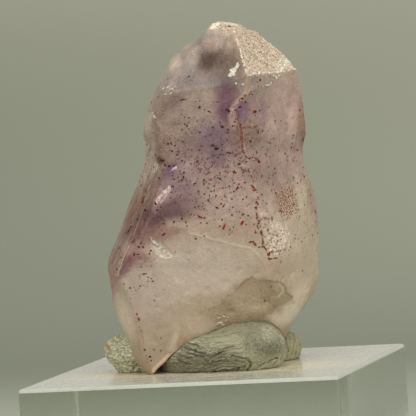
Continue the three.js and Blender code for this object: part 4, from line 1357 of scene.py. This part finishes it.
def putty_relief(mesh, skin):
    """Presses the putty against crystal and block, and adds folds, creases and finger lines."""
    relax(mesh, np.full(len(mesh.vertices), 0.5), 4)
    points, normals = read(mesh.vertices, "co"), read(mesh.vertices, "normal")
    x, _, z = points.T
    front = smooth(normals[:, 1], 0.2, -0.2)
    left_lobe = smooth(x, -5.2, -7.0)
    right_end = smooth(x, 2.6, 5.2)
    roll = (1 - left_lobe) * (1 - right_end)

    # Finger lines that sweep along the roll and curl round its right end
    warp = cloud(points, 2.4, 21)
    lift = 0.015 * np.sin((z - 0.12 * x + 0.5 * warp) * 2 * math.pi / 0.6) * roll
    reach = np.hypot(x - 4.6, (z - 2.4) * 1.2)
    lift += 0.015 * np.sin(reach * 2 * math.pi / 0.7 + 2.0 * warp) * right_end * front
    lift += 0.09 * cloud(points, 1.9, 23) + 0.03 * cloud(points, 0.6, 24)
    folds = smooth(np.abs(cloud(points, 1.0, 28, (2.4, 2.4, 0.55))), 0.10, 0.0)
    lift -= 0.08 * folds * roll * smooth(z, 4.2, 3.0)

    # Creases of the front, with a soft lip above each
    bent = points + clouds(points, 0.14, 0.6, (31, 32, 33))
    for line, width, depth in PUTTY_CREASES:
        gap = distance_to_line(bent, line)
        lift -= 1.3 * depth * front * smooth(gap, width * 1.1, 0.03)
        lift += 0.6 * depth * front * smooth(np.abs(gap - 1.9 * width), width, 0.0)

    # The rough crumbly left lobe
    cracks = smooth(np.abs(cloud(points, 0.6, 27)), 0.10, 0.0)
    crumbs = 0.13 * cloud(points, 0.5, 25) + 0.10 * cloud(points, 0.28, 26)
    lift += left_lobe * (crumbs - 0.16 * cracks)
    points = points + normals * np.clip(lift, -0.4, 0.2)[:, None]

    # Against the crystal the putty closes the gap, and its underside lies on the block
    for number in range(len(points)):
        spot, _, _, gap = skin.find_nearest(Vector(points[number]), PUTTY_REACH)
        if spot is not None:
            toward = np.array(spot) - points[number]
            if toward @ normals[number] > 0:
                points[number] += toward * min(1.0, (PUTTY_REACH - gap) / 0.2) * 1.08
    over = height_over(points, ROLL_TOP)
    points[:, 2] -= over * smooth(points[:, 1], -2.0, -4.0)
    low = smooth(points[:, 2], 0.9, 0.35)
    lowered = np.minimum(points[:, 2], 0.02 + (points[:, 2] - 0.3) * 0.9)
    points[:, 2] = np.maximum(points[:, 2] * (1 - low) + lowered * low, 0.015)
    write_points(mesh, points)


def make_putty(skin):
    mesh = even_mesh("mounting_putty", PUTTY_SPACING)
    putty_relief(mesh, skin)
    shade_smooth(mesh)
    mesh.transform(SPECIMEN_TO_WORLD)
    add_piece("putty", mesh, [putty_material()], "mounting_putty")


# The acrylic block

# How far the block's upright corners and its level edges are rounded
CORNER_EASE, EDGE_EASE = 0.5, 0.42


def hairlines(place, turn, stretch, width):
    """Fine scratches that run one way over the acrylic."""
    values = {"Vector": place, "Angle": turn}
    turned = put(place.tree, "VectorRotate", values, rotation_type="Z_AXIS")
    return ramp(abs(mist(turned * stretch, 1.0, 3.0) - 0.6), width, 0.0)


def acrylic_material(name, transmission, haze, roughness, shade, putty_reflection=0.0):
    """Clear acrylic. Haze is how strongly its marks show; the last number is how strongly a warm
    painted reflection of the putty shows on the top.
    """
    material, surface, output, object_place = start_material(name)
    values = {"Vector": object_place, "Scale": (1 / MM,) * 3}
    place = put(object_place.tree, "Mapping", values)
    smudges = veil(place, (7.0, 4.0, 5.0), 0.42, 0.7)
    # Three sets of hairlines: turn, stretch and width of each
    marks = reduce(either, (hairlines(place, *lines) for lines in (
        (0.08, (0.10, 3.2, 0.8), 0.05), (-0.25, (0.13, 2.4, 0.6), 0.04),
        (1.9, (0.2, 2.2, 0.5), 0.03),
    )))
    rough = smudges * (0.08 * haze) + marks * (0.2 * haze)
    tint = lay(shade, smudges * 0.3, [0.93 * v for v in shade])
    tint = lay(tint, marks * (0.22 * haze), (250, 248, 236))
    # A warm painted reflection of the putty on the top in front of it, which also lifts the shade
    # there
    if putty_reflection:
        putty_reflection_mask = zone(place, (1.0, -5.0, BLOCK_HEIGHT), (15, 7, 3), 0, 0.4, putty_reflection)
        tint = lay(tint, putty_reflection_mask, (255, 245, 212))
    plug(surface, {
        "Base Color": tint, "Roughness": rough + roughness, "IOR": ACRYLIC_IOR,
        "Normal": bump(marks, 0.01 * MM, 0.4 * haze), "Transmission Weight": transmission,
    })
    absorb(output, (0.93, 0.94, 0.92), 40.0)
    return material


def make_block():
    """A polished block with eased upright corners, fine rounded edges and a scratched top."""
    shell = bmesh.new()
    size = Matrix.Diagonal((BLOCK_SIDE * MM, BLOCK_SIDE * MM, BLOCK_HEIGHT * MM, 1))
    lifted = Matrix.Translation((0, 0, BLOCK_HEIGHT / 2 * MM))
    bmesh.ops.create_cube(shell, size=1.0, matrix=lifted @ size)
    rounding = {"affect": "EDGES", "profile": 0.5}
    half_height = 0.5 * BLOCK_HEIGHT * MM
    upright = [
        e for e in shell.edges if abs((e.verts[0].co - e.verts[1].co).z) > half_height]
    bmesh.ops.bevel(shell, geom=upright, offset=CORNER_EASE * MM, segments=5, **rounding)
    level = [e for e in shell.edges if len(e.link_faces) == 2 and e.calc_face_angle() > 1.2]
    bmesh.ops.bevel(shell, geom=level, offset=EDGE_EASE * MM, segments=4, **rounding)
    shell.normal_update()
    for face in shell.faces:
        # Top faces take the scratched top, the rounded top edges a paler, less clear finish that
        # paints a highlight along them, the rest the clear sides
        face.material_index = 1 if face.normal.z > 0.99 else 2 if face.normal.z > 0.05 else 0
    add_piece("block", mesh_from(shell, "acrylic_block_piece"), [
        acrylic_material("clear acrylic sides", 1.0, 0.4, 0.05, (227, 230, 224)),
        acrylic_material("scratched acrylic top", 0.4, 1.0, 0.12, (226, 226, 214), 0.95),
        acrylic_material("pale acrylic edges with painted highlight", 0.35, 1.0, 0.3, (204, 206, 196)),
    ], "acrylic_block")


# Stage, lights and camera, in metres except where the camera's own numbers are in millimetres

FLOOR_HALF, FLOOR_LEVEL = 25.0, -0.0002
LIGHT_TARGET = Vector((0, 0, 0.03))


def make_stage():
    """A pale floor with painted shade and light: it darkens behind the block and lightens again far
    away and to the right.
    """
    mesh = bpy.data.meshes.new("floor")
    corners = [(x * FLOOR_HALF, y * FLOOR_HALF, FLOOR_LEVEL)
               for x, y in ((-1, -1), (1, -1), (1, 1), (-1, 1))]
    mesh.from_pydata(corners, [], [(0, 1, 2, 3)])
    floor = show("floor", mesh)
    material, surface, _, object_place = start_material("pale grey green floor")
    x, y, _ = axes(object_place)
    depth = either(y, 0.05)
    far = ramp(depth / (depth + 0.8), 0.15, 0.95, "LINEAR")
    shade = lay((127, 132, 118), far, (199, 204, 188))
    right = ramp((x + depth * 0.255) / (depth + 0.53), -0.06, 0.06, "LINEAR")
    shade = lay(shade, right * (far * 0.42 + 0.02), (226, 230, 214))
    near = ramp(y, 0.16, 0.02)
    plug(surface, {
        "Base Color": lay(shade, near, (172, 177, 165)), "Roughness": 0.9,
        "Specular IOR Level": 0.1,
    })
    mesh.materials.append(material)

    world = bpy.data.worlds.new("soft room")
    bpy.context.scene.world = world
    world.use_nodes = True
    plug(world.node_tree.nodes["Background"], {"Color": tone(194, 192, 182), "Strength": 1.0})


def add_softbox(name, place, size, power, colour):
    light = bpy.data.lights.new(name, "AREA")
    light.shape, light.size, light.energy, light.color = "DISK", size, power, colour
    lamp = show(name, light)
    lamp.location = place
    lamp.rotation_euler = (LIGHT_TARGET - Vector(place)).to_track_quat("-Z", "Y").to_euler()


# The camera looks down a long lens from a little to the right of the block's front
CAMERA_AZIMUTH, CAMERA_ELEVATION, CAMERA_ROLL = (math.radians(v) for v in (14.32, 3.12, -3.85))
CAMERA_DISTANCE = 533.5
CAMERA_ACROSS, CAMERA_UP = 0.32, 18.75
CAMERA_LENS, SENSOR = 389.4, 36.0


def make_camera():
    a, e, r = CAMERA_AZIMUTH, CAMERA_ELEVATION, CAMERA_ROLL
    back = Vector((math.sin(a) * math.cos(e), -math.cos(a) * math.cos(e), math.sin(e)))
    right = Vector((math.cos(a), math.sin(a), 0))
    up = Vector((-math.sin(a) * math.sin(e), math.cos(a) * math.sin(e), math.cos(e)))
    side = right * math.cos(r) + up * math.sin(r)
    top = up * math.cos(r) - right * math.sin(r)
    place = Vector((0, 0, BLOCK_HEIGHT)) + right * CAMERA_ACROSS + up * CAMERA_UP
    place = (place + back * CAMERA_DISTANCE) * MM
    data = bpy.data.cameras.new("camera")
    data.lens, data.sensor_width = CAMERA_LENS, SENSOR
    data.clip_start, data.clip_end = 0.02, 100.0
    camera = show("camera", data)
    turned = Matrix((side, top, back)).transposed().to_4x4()
    camera.matrix_world = Matrix.Translation(place) @ turned
    bpy.context.scene.camera = camera


crystal_skin = make_crystal()
make_bold_flakes(crystal_skin)
make_specks(crystal_skin)
make_rust(crystal_skin)
make_putty(crystal_skin)
make_block()
make_stage()
add_softbox("key softbox", (0.25, -0.35, 0.85), 0.7, 4.5, (1.0, 0.98, 0.94))
add_softbox("front softbox", (-0.4, -0.95, 0.35), 0.8, 4.4, (1.0, 0.98, 0.96))
add_softbox("right softbox", (0.85, -0.30, 0.16), 0.6, 4.2, (1.0, 0.98, 0.95))
make_camera()

settings = bpy.context.scene.view_settings
settings.view_transform, settings.look = "Standard", "None"
settings.exposure, settings.gamma = 0.0, 1.0
